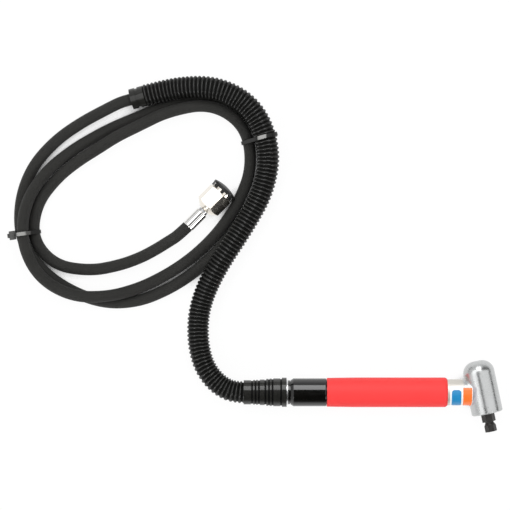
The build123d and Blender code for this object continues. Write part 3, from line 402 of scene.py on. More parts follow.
# %% Reach and height of the coil's turns, in millimetres
coil_reach = [
    [96.8, 96.6, 102, 110.3, 116.2, 120.2, 114.6, 107.2, 102, 95,
     88.2, 86, 88, 95.4, 110.8, 129.8, 140, 132.2, 102, 84.5],
    [78.3, 78.1, 84.2, 96.1, 110, 119, 120.6, 111.3, 95.2, 82.4,
     75, 73, 75.6, 83.1, 96.7, 116.1, 128.6, 120.2, 94, 75],
    [68.2, 66.1, 71.5, 83.1, 99.1, 109.1, 101.8, 80.8, 63.2, 53.2, 48, 46.8],
]
coil_height = [
    [10.0, 7.0, 5.8, 5.8, 6.8, 7.4, 6.4, 5.8, 5.8, 5.8,
     5.8, 5.8, 5.8, 5.8, 6.0, 7.4, 7.5, 6.3, 5.8, 5.8],
    [5.8, 5.8, 5.8, 10.2, 17.6, 19.2, 17.8, 17.4, 17.2, 9.4,
     7.4, 7.4, 7.4, 7.6, 8.0, 7.2, 7.8, 13.2, 17.4, 16.4],
    [15.4, 12.8, 9.4, 6.4, 6.8, 7.4, 6.4, 5.8, 5.8, 6.0, 8.6, 12.2],
]
print("steps of the coil:", sum(len(reaches) for reaches in coil_reach))

# %% Points of the air hose, in millimetres
coil_x = -239.1
coil_y = 189.0
coil_first_bearing = 108
coil_turn_steps = 20
coil_stand_out = 1.0125
hose_end = Vector((-190.6, 166.5, 14.2))
hose_end_heading = radians(45)
hose_end_way = Vector((cos(hose_end_heading), sin(hose_end_heading), 0))
end_straight = 11.0
ferrule_grip = 17.6
collar_length = 13.6
inlet_behind = 191.2

collar_way = (exhaust_points[-1] - exhaust_points[-2]).normalized()
collar_face = exhaust_points[-1] + collar_way * collar_length
coil_points = [collar_face, collar_face + collar_way * end_straight]
for turn, (reaches, heights) in enumerate(zip(coil_reach, coil_height)):
    for step, (reach, height) in enumerate(zip(reaches, heights)):
        bearing = radians(coil_first_bearing + 360 * (turn + step / coil_turn_steps))
        stand = reach * coil_stand_out
        coil_point = Vector((coil_x + stand * cos(bearing), coil_y + stand * sin(bearing), height))
        coil_points.append(coil_point)
coil_points += [hose_end - hose_end_way * end_straight, hose_end + hose_end_way * ferrule_grip]
inlet = Vector((tool_x - inlet_behind, tool_y, tool_z))
air_points = [inlet, *exhaust_points[1:-1], *coil_points]
print("control points of the air hose:", len(air_points))

# %% [markdown]
# ## From control points to a line
#
# Blender works out the spline. A curve could get its thickness from a bevel, but ribs and a UV map
# in metres would be hard to give it. The curve is turned into a mesh of plain edges instead, whose
# points are the line that a tube is then drawn along.


# %% Smooth lines
def smooth_line(name, points, resolution):
    """Points along a NURBS spline that has the given control points, in metres."""
    curve = bpy.data.curves.new(name, "CURVE")
    curve.dimensions = "3D"
    spline = curve.splines.new("NURBS")
    spline.points.add(len(points) - 1)
    for control, point in zip(spline.points, points):
        control.co = (*(point * MM), 1)
    spline.order_u = 3
    spline.use_endpoint_u = True
    spline.resolution_u = resolution
    holder = bpy.data.objects.new(name, curve)
    bpy.context.scene.collection.objects.link(holder)
    bpy.context.view_layer.update()
    mesh = bpy.data.meshes.new_from_object(holder)
    line = [vertex.co.copy() for vertex in mesh.vertices]
    bpy.data.objects.remove(holder)
    bpy.data.curves.remove(curve)
    bpy.data.meshes.remove(mesh)
    return line


def lengths_along(line):
    """The length of the line up to each of its points."""
    total = [0.0]
    for before, after in zip(line, line[1:]):
        total.append(total[-1] + (after - before).length)
    return total


exhaust_line = smooth_line("exhaust_route", exhaust_points, resolution=16)
air_line = smooth_line("air_route", air_points, resolution=10)
exhaust_length = lengths_along(exhaust_line)[-1]

# %% [markdown]
# ## Tubes
#
# A tube is a row of rings across a line. Each ring is turned only as far as the line bends, so the
# surface never twists, and a UV map runs once round the tube and in metres along it. The ribbed hose
# takes its rings at chosen lengths with changing radii, the plain hose at every point of the line.


# %% Places of the rings
def stations_on(line, lengths):
    """Points and directions at given lengths along a line."""
    known = lengths_along(line)
    places = []
    index = 0
    for length in lengths:
        while index < len(line) - 2 and known[index + 1] < length:
            index += 1
        share = (length - known[index]) / (known[index + 1] - known[index])
        before = line[max(index - 1, 0)]
        after = line[min(index + 2, len(line) - 1)]
        near = (line[index + 1] - before).normalized()
        far = (after - line[index]).normalized()
        places.append((line[index].lerp(line[index + 1], share), near.lerp(far, share).normalized()))
    return places


print("points on the lines:", len(exhaust_line), "and", len(air_line))


# %% Tube builder
def ring_points(places, radii, sides):
    """The corners of all rings, each ring turned as little as the line allows."""
    side_way = places[0][1].orthogonal().normalized()
    last_way = places[0][1]
    points = []
    for (place, way), radius in zip(places, radii):
        side_way = last_way.rotation_difference(way) @ side_way
        side_way = (side_way - way * side_way.dot(way)).normalized()
        last_way = way
        third_way = way.cross(side_way)
        for side in range(sides):
            angle = 2 * pi * side / sides
            points.append(place + (side_way * cos(angle) + third_way * sin(angle)) * radius)
    return points


def wrap_tube(mesh, lengths, sides):
    """A UV map once round the tube and in metres along it; the walls are shaded smooth."""
    wrap = mesh.uv_layers.new(name="wrap")
    for face in mesh.polygons:
        is_wall = len(face.vertices) == 4
        face_sides = [vertex % sides for vertex in face.vertices]
        crosses_seam = is_wall and max(face_sides) == sides - 1 and min(face_sides) == 0
        for loop in face.loop_indices:
            vertex = mesh.loops[loop].vertex_index
            side = vertex % sides
            if crosses_seam and side == 0:
                side = sides
            wrap.data[loop].uv = (side / sides, lengths[vertex // sides])
        face.use_smooth = is_wall


def tube(name, line, lengths, radii, sides):
    """A closed tube with one ring at each length along the line."""
    points = ring_points(stations_on(line, lengths), radii, sides)
    faces = []
    for low in range(0, len(points) - sides, sides):
        for side in range(sides):
            following = (side + 1) % sides
            faces.append((low + side, low + following, low + sides + following, low + sides + side))
    faces.append(tuple(reversed(range(sides))))
    faces.append(tuple(range(len(points) - sides, len(points))))
    mesh = bpy.data.meshes.new(name)
    mesh.from_pydata(points, [], faces)
    wrap_tube(mesh, lengths, sides)
    piece = bpy.data.objects.new(name, mesh)
    bpy.context.scene.collection.objects.link(piece)
    return piece


print("a tube is made of rings, walls, two caps and a UV map")

# %% [markdown]
# ## The ribbed exhaust hose
#
# The exhaust hose is a blown plastic tube with round ribs, and the air hose runs inside it. One rib
# could be modelled and repeated along a curve by modifiers. Rings with changing radii follow the bend
# more evenly: eight to a rib give the ribs their rounded crests and sharp valleys.

# %% Ribbed hose
crest_radius = 10.9 * MM
valley_radius = 9.4 * MM
rib_count = 117
rib_profile = [
    (0.0, 0.0), (0.14, 0.12), (0.26, 0.68), (0.38, 0.95),
    (0.5, 1.0), (0.62, 0.95), (0.74, 0.68), (0.86, 0.12),
]
rib_pitch = exhaust_length / rib_count
rib_lengths = []
rib_radii = []
for rib in range(rib_count):
    for share, rise in rib_profile:
        rib_lengths.append((rib + share) * rib_pitch)
        rib_radii.append(valley_radius + (crest_radius - valley_radius) * rise)
rib_lengths.append(exhaust_length)
rib_radii.append(valley_radius)
ribbed_hose = tube("ribbed_hose", exhaust_line, rib_lengths, rib_radii, sides=40)
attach(ribbed_hose, "tool")
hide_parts("exhaust_hose")
print("ribs:", rib_count, "at a pitch of", round(rib_pitch / MM, 2), "mm")
print("ribbed hose faces:", len(ribbed_hose.data.polygons))

# %% [markdown]
# ## The air hose
#
# One rubber hose with a woven cover runs from the tool's inlet through the exhaust hose, leaves it
# at the collar, and lies in loose turns that two cable ties hold. It is the same tube with one
# radius.

# %% Plain hose
air_radius = 5.75 * MM
air_lengths = lengths_along(air_line)
air_radii = [air_radius] * len(air_lengths)
air_hose = tube("woven_air_hose", air_line, air_lengths, air_radii, sides=28)
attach(air_hose, "tool")
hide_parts("air_hose", "air_hose_inner")
print("air hose faces:", len(air_hose.data.polygons))

# %% Cords
print("cords:", ribbed_hose.name, "and", air_hose.name)

# %% [markdown]
# ## Polished alloy
#
# The head is a casting. Its barrel was turned and buffed, which leaves fine lines round it, so the
# pattern is placed in the spindle's own frame: short along the axis and long across it. The neck
# was only blasted and stays dull, and so does the corner where it runs into the barrel, which is
# also painted darker and bluer as shade. Two materials would meet at a hard line, so one material
# changes with the distances from the spindle and from the neck's axis. A few small pits of the
# casting are left.

# %% Where the head is dull
head_tilt = 12.0
barrel_rim = (15.5, 18.5)
corner_start = (86.6, 88.2)
corner_end = (90.6, 92.2)
corner_rim = (14.2, 15.4)
crossing = (tool_x * MM, tool_y * MM, tool_z * MM)
spindle_turn = (0, 0, radians(head_tilt - 90))
neck_axis = (0, tool_y * MM, tool_z * MM)

polished_alloy = Finish("polished_alloy", Metallic=1.0)
head_place = polished_alloy.place(crossing, spindle_turn, size=(MM, MM, MM))
from_spindle = polished_alloy.axes(head_place)[1].math("ABSOLUTE")
blasted = from_spindle.between(*barrel_rim)
neck_place = polished_alloy.place(neck_axis, size=(MM, MM, MM))
neck_x, neck_y, neck_z = polished_alloy.axes(neck_place)
from_neck = (neck_y * neck_y + neck_z * neck_z).math("SQRT")
past_start = neck_x.between(*corner_start)
past_end = neck_x.between(*corner_end)
corner = past_start * (1 - past_end) * (1 - from_neck.between(*corner_rim))
print("head turned by", head_tilt, "degrees out of square")

# %% Head
alloy_dark = rgb(0.49, 0.50, 0.495)
alloy_light = rgb(0.60, 0.61, 0.615)
neck_dark = rgb(0.66, 0.63, 0.58)
neck_light = rgb(0.74, 0.71, 0.66)
painted_corner_shade = rgb(0.44, 0.43, 0.46)
pit_tone = rgb(0.20, 0.20, 0.22)
pit_share = 0.7
pit_rim = (0.72, 0.77)
buffed_rough = 0.18
more_rough_blasted = 0.20
more_rough_corner = 0.30
more_rough_handled = 0.12
more_rough_lines = 0.08
wave_height = 12

lines_place = polished_alloy.place(crossing, spindle_turn, size=(0.3 * MM, 9 * MM, 9 * MM))
buffing = polished_alloy.noise(lines_place, detail=2)
waves_place = polished_alloy.place(crossing, spindle_turn, size=(7 * MM, 3 * MM, 3 * MM))
waves = polished_alloy.noise(waves_place, detail=1)
blasting = polished_alloy.mottle(width=0.35 * MM, detail=2)
handling = polished_alloy.mottle(width=9 * MM)
pits = polished_alloy.mottle(width=1.3 * MM, detail=1).between(*pit_rim)
alloy_tone = polished_alloy.mix(handling, alloy_dark, alloy_light)
neck_tone = polished_alloy.mix(handling, neck_dark, neck_light)
alloy_tone = polished_alloy.mix(blasted, alloy_tone, neck_tone)
# painted shade: the corner between neck and barrel is darker and bluer
alloy_tone = polished_alloy.mix(corner, alloy_tone, painted_corner_shade)
polished_alloy.set("Base Color", polished_alloy.mix(pits * pit_share, alloy_tone, pit_tone))
roughness = blasted * more_rough_blasted + corner * more_rough_corner
roughness = roughness + handling * more_rough_handled + buffing * more_rough_lines
polished_alloy.set("Roughness", roughness + buffed_rough)
relief = waves * wave_height + buffing * (1 - blasted) + blasting * blasted
polished_alloy.bump(relief, depth=0.006 * MM, edge_radius=0.3 * MM)
dress(polished_alloy, "head_housing")

# %% [markdown]
# ## Sticker
#
# A plain sticker with two colour fields wraps round the neck, from above to the near side. It could
# be drawn in the head's material, but then it would have no edge. It starts as a flat grid whose
# corners are rounded by drawing its outer points in. A bend with the neck's radius rolls it up, a
# Shrinkwrap lays it on the casting, also where the neck spreads into the barrel, and Solidify gives
# it the thickness of a film.

# %% Flat sticker
sticker_left = 65.4
sticker_right = 87.6
sticker_top = 32
sticker_bottom = -95
neck_radius = 12.75
corner_radius = 1.6
sticker_wide = sticker_right - sticker_left
sticker_arc = radians(sticker_top - sticker_bottom)
sticker_long = sticker_arc * neck_radius

bpy.ops.object.select_all(action="DESELECT")
bpy.ops.mesh.primitive_grid_add(x_subdivisions=44, y_subdivisions=56, size=1)
sticker = bpy.context.object
sticker.name = "neck_sticker"
sticker.scale = (sticker_wide * MM, sticker_long * MM, 1)
bpy.ops.object.transform_apply(location=False, rotation=False, scale=True)
inner = Vector((sticker_wide / 2 - corner_radius, sticker_long / 2 - corner_radius)) * MM
corner_size = corner_radius * MM
for vertex in sticker.data.vertices:
    out_x = abs(vertex.co.x) - inner.x
    out_y = abs(vertex.co.y) - inner.y
    if out_x > 0 and out_y > 0:
        drawn_x = inner.x + out_x * sqrt(1 - (out_y / corner_size) ** 2 / 2)
        drawn_y = inner.y + out_y * sqrt(1 - (out_x / corner_size) ** 2 / 2)
        vertex.co.x *= drawn_x / abs(vertex.co.x)
        vertex.co.y *= drawn_y / abs(vertex.co.y)
print("sticker", round(sticker_wide, 1), "by", round(sticker_long, 1), "mm")

# %% Sticker on the neck
film_thick = 0.12
film_gap = 0.05
smooth_angle = radians(40)

sticker.rotation_euler = (pi / 2, 0, 0)
bpy.ops.object.transform_apply(location=False, rotation=True, scale=False)
roll = sticker.modifiers.new("roll", "SIMPLE_DEFORM")
roll.deform_method = "BEND"
roll.deform_axis = "X"
roll.angle = sticker_arc
bpy.ops.object.modifier_apply(modifier=roll.name)
bpy.ops.object.mode_set(mode="EDIT")
bpy.ops.mesh.select_all(action="SELECT")
bpy.ops.transform.translate(value=(0, -neck_radius * MM, 0))
bpy.ops.object.mode_set(mode="OBJECT")
middle_bearing = radians((sticker_top + sticker_bottom) / 2)
sticker.rotation_euler = (-pi / 2 - middle_bearing, 0, 0)
sticker.location = ((sticker_left + sticker_right) / 2 * MM, tool_y * MM, tool_z * MM)
bpy.ops.object.transform_apply(location=True, rotation=True, scale=True)
lay = sticker.modifiers.new("lay", "SHRINKWRAP")
lay.target = nodes["head_housing"]
lay.wrap_mode = "ABOVE_SURFACE"
lay.offset = film_gap * MM
bpy.ops.object.modifier_apply(modifier=lay.name)
film = sticker.modifiers.new("film", "SOLIDIFY")
film.thickness = film_thick * MM
film.offset = 1.0
bpy.ops.object.modifier_apply(modifier=film.name)
bpy.ops.object.shade_smooth_by_angle(angle=smooth_angle)
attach(sticker, "tool")
print("sticker faces:", len(sticker.data.polygons))

# %% [markdown]
# ## Print on the sticker
#
# The print is worked out in millimetres on the sticker's own UV map. A field covers all that lies
# nearer to its inner rectangle than its rounding, so its edge stays sharp however close the camera
# comes, which a painted picture wouldn't.

# %% Print on the sticker
sticker_print = Finish("sticker_print", Coat_Weight=0.25, Coat_Roughness=0.12)
print_place = sticker_print.place(size=(1 / sticker_wide, 1 / sticker_long, 1), source="UV")
across_mm, up_mm, _ = sticker_print.axes(print_place)
print_blur = 0.08


def colour_field(left, right, top, bottom, rounding):
    """One inside a rounded field, from millimetres along the sticker and bearings round the neck."""
    low = radians(bottom - sticker_bottom) * neck_radius
    high = radians(top - sticker_bottom) * neck_radius
    beyond_x = (across_mm - (left + right) / 2).math("ABSOLUTE") - ((right - left) / 2 - rounding)
    beyond_y = (up_mm - (low + high) / 2).math("ABSOLUTE") - ((high - low) / 2 - rounding)
    beyond_x = beyond_x.math("MAXIMUM", 0.0)
    beyond_y = beyond_y.math("MAXIMUM", 0.0)
    distance = (beyond_x * beyond_x + beyond_y * beyond_y).math("SQRT")
    return 1 - distance.between(rounding - print_blur, rounding + print_blur)


film_dark = rgb(0.84, 0.84, 0.82)
film_light = rgb(0.92, 0.92, 0.91)
blue_ink = rgb(0.010, 0.235, 0.51)
orange_ink = rgb(0.94, 0.185, 0.024)
film_rough = 0.28
more_rough_grime = 0.15
blue_field = colour_field(left=1.8, right=11.2, top=13, bottom=-78, rounding=3.0)
orange_field = colour_field(left=12.9, right=21.7, top=23, bottom=-82, rounding=0.9)
grime = sticker_print.mottle(width=4 * MM)
film_tone = sticker_print.mix(grime, film_dark, film_light)
print_tone = sticker_print.mix(blue_field, film_tone, blue_ink)
print_tone = sticker_print.mix(orange_field, print_tone, orange_ink)
sticker_print.set("Base Color", print_tone)
sticker_print.set("Roughness", grime * more_rough_grime + film_rough)
sticker_print.bump(sticker_print.mottle(width=1.1 * MM, detail=2), depth=0.01 * MM)
sticker.data.materials.append(sticker_print.material)
print("print in two plain fields")

# %% [markdown]
# ## Red grip
#
# The grip is a moulded sleeve of soft plastic. It is nearly plain, with a fine moulded grain and a
# broad sheen. One flat colour would look like paper, so the colour wanders slightly and the
# roughness a little more.

# %% Grip
red_dark = rgb(0.88, 0.038, 0.038)
red_light = rgb(0.92, 0.047, 0.046)
grip_rough = 0.45
more_rough_wander = 0.12
more_rough_grain = 0.10
red_plastic = Finish("red_plastic", Specular_IOR_Level=0.4)
wander = red_plastic.mottle(width=30 * MM, detail=2)
grain = red_plastic.mottle(width=0.7 * MM, detail=2)
red_plastic.set("Base Color", red_plastic.mix(wander, red_dark, red_light))
red_plastic.set("Roughness", wander * more_rough_wander + grain * more_rough_grain + grip_rough)
red_plastic.bump(grain, depth=0.02 * MM, edge_radius=0.4 * MM)
dress(red_plastic, "grip_sleeve")

# %% [markdown]
# ## Gloss black
#
# The throttle sleeve and the neck behind it are lacquered black. A smooth black surface alone would
# shine like plastic. A clear coat over a black base gives the sharp light bands, and a light film
# of handling makes them uneven.

# %% Throttle sleeve
lacquer_dark = rgb(0.0010, 0.0010, 0.0008)
lacquer_light = rgb(0.0030, 0.0026, 0.0020)
lacquer_rough = 0.08
more_rough_touched = 0.10
gloss_black = Finish("gloss_black", Coat_Weight=0.4, Coat_Roughness=0.06)
touched = gloss_black.mottle(width=7 * MM)
gloss_black.set("Base Color", gloss_black.mix(touched, lacquer_dark, lacquer_light))
gloss_black.set("Roughness", touched * more_rough_touched + lacquer_rough)
gloss_black.bump(gloss_black.mottle(width=2.5 * MM, detail=1), depth=0.003 * MM, edge_radius=0.3 * MM)
dress(gloss_black, "throttle_sleeve", "valve_housing")

# %% [markdown]
# ## Turned and ground metal
#
# Turned and ground pieces carry fine lines round the body's axis. Modelled grooves would cost many
# faces, so the lines are a stretched cloud that changes roughness and bump. One function makes the
# three metals, which differ in colour and shine. Most of these pieces sit inside the tool.


# %% Turned metals
def turned_metal(name, dark, light, roughness):
    """A metal with turning lines square to the body's axis."""
    line_size = (0.14 * MM, 20 * MM, 20 * MM)
    more_rough_turned = 0.16
    finish = Finish(name, Metallic=1.0)
    lines = finish.noise(finish.place(size=line_size), detail=2)
    finish.set("Base Color", finish.mix(finish.mottle(width=8 * MM), dark, light))
    finish.set("Roughness", lines * more_rough_turned + roughness)
    finish.bump(lines, depth=0.005 * MM, edge_radius=0.15 * MM)
    return finish


alloy_shades = (rgb(0.60, 0.60, 0.61), rgb(0.78, 0.78, 0.79))
steel_shades = (rgb(0.46, 0.46, 0.47), rgb(0.62, 0.62, 0.63))
brass_shades = (rgb(0.58, 0.40, 0.17), rgb(0.76, 0.57, 0.28))
turned_alloy = turned_metal("turned_alloy", *alloy_shades, roughness=0.20)
ground_steel = turned_metal("ground_steel", *steel_shades, roughness=0.24)
turned_brass = turned_metal("turned_brass", *brass_shades, roughness=0.22)
dress(turned_alloy, "exhaust_spigot", "motor_housing")
dress(
    ground_steel, "throttle_pin", "front_end_plate", "rear_end_plate", "motor_cylinder", "rotor",
    "front_bearing_inner", "front_bearing_outer", "rear_bearing_inner", "rear_bearing_outer",
    "upper_bearing_inner", "upper_bearing_outer", "lower_bearing_inner", "lower_bearing_outer",
    "front_bearing_clip", "bearing_retainer", "pinion", "bevel_gear", "gear_nut", "spindle_spacer",
    "collet", "hose_stem",
)
dress(turned_brass, "valve_spool", "inlet_fitting")

# %% [markdown]
# ## Blackened steel
#
# The spindle, whose nose shows, and the collet nut are blackened steel, which stays dark on the faces
# and wears bright along the edges. The worn edges could be painted by hand; the Bevel node finds
# them on any shape.

# %% Spindle and collet nut
oxide_dark = rgb(0.020, 0.019, 0.018)
oxide_light = rgb(0.055, 0.052, 0.050)
bare_steel = rgb(0.30, 0.29, 0.28)
worn_share = 0.7
grit_worn = (0.25, 0.6)
oxide_rough = 0.26
more_rough_bloom = 0.2
black_oxide = Finish("black_oxide", Metallic=0.75)
bloom = black_oxide.mottle(width=3 * MM)
grit = black_oxide.mottle(width=0.35 * MM, detail=2)
worn = black_oxide.edge_share(radius=0.3 * MM) * grit.between(*grit_worn)
oxide_tone = black_oxide.mix(bloom, oxide_dark, oxide_light)
black_oxide.set("Base Color", black_oxide.mix(worn * worn_share, oxide_tone, bare_steel))
black_oxide.set("Roughness", bloom * more_rough_bloom + oxide_rough)
black_oxide.bump(grit, depth=0.01 * MM, edge_radius=0.25 * MM)
dress(black_oxide, "spindle", "collet_nut")

# %% [markdown]
# ## Chrome and nickel
#
# The two ferrules are bright chrome, and the swivel nut is plated with nickel, which is warmer and
# not quite as sharp. Both show their surroundings, so they need only faint smudges and softly
# rounded edges.


# %% Plated pieces
def plated(name, dark, light, roughness):
    """A bright plating with faint smudges."""
    smudge_rim = (0.45, 0.75)
    more_rough_smudge = 0.06
    finish = Finish(name, Metallic=1.0)
    smudge = finish.mottle(width=5 * MM)
    finish.set("Base Color", finish.mix(smudge, dark, light))
    finish.set("Roughness", smudge.between(*smudge_rim) * more_rough_smudge + roughness)
    finish.bump(finish.mottle(width=1.5 * MM, detail=1), depth=0.0015 * MM, edge_radius=0.3 * MM)
    return finish


chrome_shades = (rgb(0.84, 0.83, 0.81), rgb(0.92, 0.91, 0.89))
nickel_shades = (rgb(0.84, 0.79, 0.71), rgb(0.91, 0.86, 0.78))
chrome = plated("bright_chrome", *chrome_shades, roughness=0.08)
nickel = plated("satin_nickel", *nickel_shades, roughness=0.18)
dress(chrome, "hose_ferrule", "inlet_ferrule")
dress(nickel, "swivel_nut")

# %% [markdown]
# ## Moulded plastic and seals
#
# These black pieces differ in shine and in grain: the dust cap is a plain moulding, and the two
# rings that seal the throttle are dull rubber. One function makes both, because only its numbers
# change.


# %% Black mouldings
def black_moulding(name, tone, roughness, grain_size, grain_depth, edge):
    """A black moulded piece with a grain, paler and duller where it is rubbed."""
    pale = tone * 2
    warmth = 0.96
    pale_warmth = 0.95
    tone_rgb = rgb(tone, tone, tone * warmth)
    pale_rgb = rgb(pale, pale, pale * pale_warmth)
    more_rough_rubbed = 0.18
    more_rough_texture = 0.08
    finish = Finish(name, Specular_IOR_Level=0.36)
    rubbed = finish.mottle(width=6 * MM)
    texture = finish.mottle(grain_size, detail=2)
    finish.set("Base Color", finish.mix(rubbed, tone_rgb, pale_rgb))
    finish.set("Roughness", rubbed * more_rough_rubbed + texture * more_rough_texture + roughness)
    finish.bump(texture, grain_depth, edge)
    return finish


cap_plastic = black_moulding(
    "cap_plastic", tone=0.008, roughness=0.26,
    grain_size=0.6 * MM, grain_depth=0.006 * MM, edge=0.3 * MM,
)
seal_rubber = black_moulding(
    "seal_rubber", tone=0.012, roughness=0.5,
    grain_size=0.4 * MM, grain_depth=0.01 * MM, edge=0.1 * MM,
)
dress(cap_plastic, "dust_cap")
dress(seal_rubber, "throttle_ring_1", "throttle_ring_2")

# %% [markdown]
# ## Rubber cuff
#
# The cuff is a row of bands with grooves between them. The bands are handled and shine, the grooves
# stay dull, so the clear coat of the finish fades in every groove, and the grooves are painted
# darker as shade. A material for each face would need the faces picked one by one; the grooves are
# found by their distance from the cuff's front face instead.

# %% Grooves of the cuff
cuff_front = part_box("exhaust_cuff")[1][0]
groove_middles = [5.4, 13.8, 17.2, 20.8, 27.1, 30.4, 33.8]
groove_half = 0.75
groove_blur = 0.3
satin_rubber = Finish("satin_rubber", Specular_IOR_Level=0.1, Coat_Roughness=0.14)
cuff_place = satin_rubber.place((cuff_front, 0, 0), size=(-MM, MM, MM))
behind_front = satin_rubber.axes(cuff_place)[0]
in_groove = 0.0
for middle in groove_middles:
    off_middle = (behind_front - middle).math("ABSOLUTE")
    in_groove = in_groove + (1 - off_middle.between(groove_half, groove_half + groove_blur))
in_groove = in_groove.math("MINIMUM", 1.0)
print("grooves on the cuff:", len(groove_middles))

# %% Cuff
rubber_dark = rgb(0.007, 0.007, 0.006)
rubber_light = rgb(0.016, 0.016, 0.014)
painted_groove_shade = grey(0.002)
rubber_rough = 0.4
more_rough_worn = 0.15
band_coat = 0.95
less_coat_worn = 0.3
worn_rubber = satin_rubber.mottle(width=6 * MM)
rubber_tone = satin_rubber.mix(worn_rubber, rubber_dark, rubber_light)
# painted shade: the grooves are darker than the bands
satin_rubber.set("Base Color", satin_rubber.mix(in_groove, rubber_tone, painted_groove_shade))
satin_rubber.set("Roughness", worn_rubber * more_rough_worn + rubber_rough)
satin_rubber.set("Coat Weight", (1 - in_groove) * (band_coat - worn_rubber * less_coat_worn))
satin_rubber.bump(satin_rubber.mottle(width=0.6 * MM, detail=2), depth=0.003 * MM, edge_radius=0.3 * MM)
dress(satin_rubber, "exhaust_cuff", "exhaust_collar")

# %% [markdown]
# ## Cable ties
#
# Each strap has a pale painted highlight along one stretch, on the hose that it holds down, and the
# block of the left tie has a weaker one. A stretch is told by its start and end along X, so no face
# of the straps has to be cut, and it shows on faces that point up, towards the light.

# %% Ties
# painted highlight: pale stretches on the upper faces of the straps and the tie's block
painted_highlight_stretches = [(-358.5, -344.5, 1.0), (-122.5, -114.0, 1.0), (-368.0, -359.5, 0.25)]
stretch_blur = 0.6
upper_faces = (0.6, 0.9)
nylon_dark = grey(0.008)
nylon_light = rgb(0.020, 0.020, 0.019)
painted_highlight_tone = rgb(0.32, 0.32, 0.31)
nylon_rough = 0.32
more_rough_scuffs = 0.15
nylon = Finish("nylon", Specular_IOR_Level=0.2)
tie_x = nylon.axes(nylon.place(size=(MM, MM, MM)))[0]
painted_highlight = 0.0
for start, end, share in painted_highlight_stretches:
    past_start = tie_x.between(start - stretch_blur, start + stretch_blur)
    past_end = tie_x.between(end - stretch_blur, end + stretch_blur)
    painted_highlight = painted_highlight + past_start * (1 - past_end) * share
facing_up = nylon.axes(nylon.node("ShaderNodeNewGeometry", {}, {}, "Normal"))[2]
painted_highlight = painted_highlight * facing_up.between(*upper_faces)
scuffs = nylon.mottle(width=2.5 * MM)
nylon_tone = nylon.mix(scuffs, nylon_dark, nylon_light)
# painted highlight mixed into the nylon's colour
nylon.set("Base Color", nylon.mix(painted_highlight, nylon_tone, painted_highlight_tone))
nylon.set("Roughness", scuffs * more_rough_scuffs + nylon_rough)
nylon.bump(nylon.mottle(width=1.2 * MM, detail=2), depth=0.006 * MM, edge_radius=0.3 * MM)
dress(nylon, "cable_tie_left", "cable_tie_right")

# %% [markdown]
# ## Head of the left tie
#
# The strap of a tie runs through a block with a catch, and its end is cut off behind it. The block
# is a cube turned to the strap. Its outer face is inset, flattened and drawn out, which makes the
# cut end in one piece with the block, and a bevel rounds all edges as a moulding's are.

# %% Tie head
tie_turn = radians(8.3)
tie_lean = radians(4.3)
tie_head_place = Vector((-362.68, 157.71, 13.95))
tie_head_size = Vector((6.4, 8.6, 7.6))
end_inset = 2.2
end_flatness = 0.45
cut_end = 1.8
edge_round = 0.5
outward = Vector((-cos(tie_turn), -sin(tie_turn), 0))
same_way = 0.9

bpy.ops.object.select_all(action="DESELECT")
bpy.ops.mesh.primitive_cube_add(
    size=1, location=tie_head_place * MM, rotation=(0, tie_lean, tie_turn)
)
tie_head = bpy.context.object
tie_head.name = "tie_head_left"
tie_head.scale = tie_head_size * MM
bpy.ops.object.transform_apply(location=True, rotation=True, scale=True)
bpy.ops.object.mode_set(mode="EDIT")
bpy.ops.mesh.select_mode(type="FACE")
bpy.ops.mesh.select_all(action="DESELECT")
bpy.ops.object.mode_set(mode="OBJECT")
for face in tie_head.data.polygons:
    face.select = face.normal.dot(outward) > same_way
bpy.ops.object.mode_set(mode="EDIT")
bpy.ops.mesh.inset(thickness=end_inset * MM)
bpy.ops.transform.resize(value=(1, 1, end_flatness))
bpy.ops.mesh.extrude_region_move(TRANSFORM_OT_translate={"value": outward * cut_end * MM})
bpy.ops.object.mode_set(mode="OBJECT")
rounding = tie_head.modifiers.new("rounding", "BEVEL")
rounding.width = edge_round * MM
rounding.segments = 3
bpy.ops.object.modifier_apply(modifier=rounding.name)
bpy.ops.object.shade_smooth_by_angle(angle=smooth_angle)
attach(tie_head, "tool")
tie_head.data.materials.append(nylon.material)
print("tie head of", len(tie_head.data.polygons), "faces")

# %% [markdown]
# ## Vanes
#
# Rotor vanes are cut from a brown laminate of cloth and resin. Thin layers show across their edges,
# and a cloud that is long in one direction and thin in the others draws them without more faces.

# %% Laminate
resin_dark = rgb(0.12, 0.060, 0.025)
resin_light = rgb(0.26, 0.15, 0.07)
resin_rough = 0.45
more_rough_layers = 0.2
laminate = Finish("laminate")
layers = laminate.noise(laminate.place(size=(8 * MM, 0.25 * MM, 0.25 * MM)), detail=2)
laminate.set("Base Color", laminate.mix(layers, resin_dark, resin_light))
laminate.set("Roughness", layers * more_rough_layers + resin_rough)
laminate.bump(layers, depth=0.01 * MM)
dress(laminate, "vane_1", "vane_2", "vane_3", "vane_4")

# %% [markdown]
# ## Woven cover of the air hose
#
# The cover is a braid of two families of yarns that wind round the hose in opposite ways. Modelled
# yarns would take more faces than all the other pieces together. Counting yarns along the two
# diagonals of the UV map gives a cell for every crossing, and the cells take turns in which yarn
# lies on top.

# %% Yarns
yarns_round = 24
yarn_length = 1.5 * MM
braid = Finish("woven_cover", Sheen_Weight=0.06, Sheen_Roughness=0.5, Specular_IOR_Level=0.25)
braid_place = braid.place(size=(1 / yarns_round, yarn_length, 1), source="UV")
round_hose, along_hose, _ = braid.axes(braid_place)
rising = round_hose + along_hose
falling = round_hose - along_hose
turns = (rising.math("FLOOR") + falling.math("FLOOR")).math("FLOORED_MODULO", 2.0)
rising_yarn = (rising * pi).math("SINE").math("ABSOLUTE")
falling_yarn = (falling * pi).math("SINE").math("ABSOLUTE")
yarn = turns * rising_yarn + (1 - turns) * falling_yarn
print("braid of", yarns_round, "yarns each way")

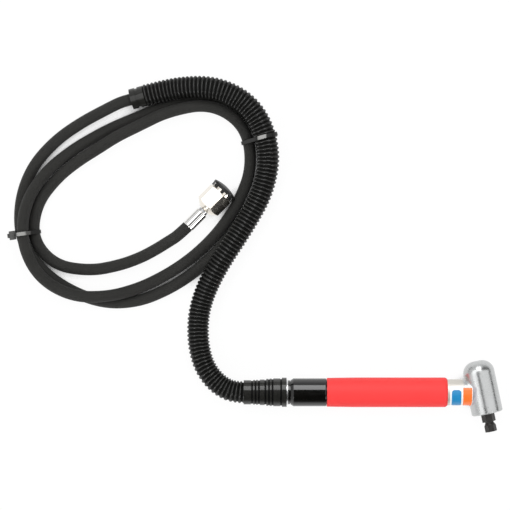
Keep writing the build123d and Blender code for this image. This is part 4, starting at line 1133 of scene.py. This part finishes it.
# %% Braid
painted_shade_between_yarns = rgb(0.007, 0.007, 0.006)
yarn_crown = rgb(0.024, 0.024, 0.022)
dust_tone = rgb(0.032, 0.031, 0.029)
dust_share = 0.5
braid_rough = 0.62
more_rough_fluff = 0.2
yarn_height = 0.8
fluff_height = 0.2
fluff = braid.mottle(width=0.5 * MM)
dust = braid.mottle(width=18 * MM)
# painted shade: the colour is darker between the yarns than on their crowns
yarn_tone = braid.mix(yarn, painted_shade_between_yarns, yarn_crown)
braid.set("Base Color", braid.mix(dust * dust_share, yarn_tone, dust_tone))
braid.set("Roughness", fluff * more_rough_fluff + braid_rough)
braid.bump(yarn * yarn_height + fluff * fluff_height, depth=0.22 * MM)
air_hose.data.materials.append(braid.material)
print(braid.material.name, "on", air_hose.name)

# %% [markdown]
# ## Ribbed plastic
#
# Blown plastic is satin and a little shinier on the crests, where it is rubbed. Its valleys are
# painted darker than its crests, as shade. The length along the hose in the UV map tells crest from
# valley, which no position in space could on a bent hose.

# %% Ribs
painted_valley_shade = grey(0.001)
rib_crest = rgb(0.010, 0.010, 0.009)
rib_rubbed = rgb(0.012, 0.012, 0.011)
rubbed_share = 0.4
valley_rough = 0.5
less_rough_crest = 0.12
more_rough_rubbing = 0.08
coated_crest = (0.35, 0.95)
crest_coat = 0.8
less_coat_rubbing = 0.3
ribbed_plastic = Finish("ribbed_plastic", Specular_IOR_Level=0.08, Coat_Roughness=0.22)
rib_place = ribbed_plastic.place(size=(1, rib_pitch, 1), source="UV")
along_ribs = ribbed_plastic.axes(rib_place)[1]
crest = 0.5 - 0.5 * (along_ribs * (2 * pi)).math("COSINE")
rubbing = ribbed_plastic.mottle(width=14 * MM)
# painted shade: the valleys are darker than the crests
rib_tone = ribbed_plastic.mix(crest, painted_valley_shade, rib_crest)
ribbed_plastic.set("Base Color", ribbed_plastic.mix(rubbing * rubbed_share, rib_tone, rib_rubbed))
rib_rough = valley_rough - crest * less_rough_crest + rubbing * more_rough_rubbing
ribbed_plastic.set("Roughness", rib_rough)
rib_coat = crest.between(*coated_crest) * (crest_coat - rubbing * less_coat_rubbing)
ribbed_plastic.set("Coat Weight", rib_coat)
ribbed_plastic.bump(ribbed_plastic.mottle(width=0.8 * MM, detail=2), depth=0.004 * MM)
ribbed_hose.data.materials.append(ribbed_plastic.material)
print(ribbed_plastic.material.name, "on", ribbed_hose.name)

# %% [markdown]
# ## The end
#
# The pieces that this script made are named at the end.

# %% Pieces made here
made_here = [ribbed_hose, air_hose, sticker, tie_head]
print("made here:", ", ".join(piece.name for piece in made_here))
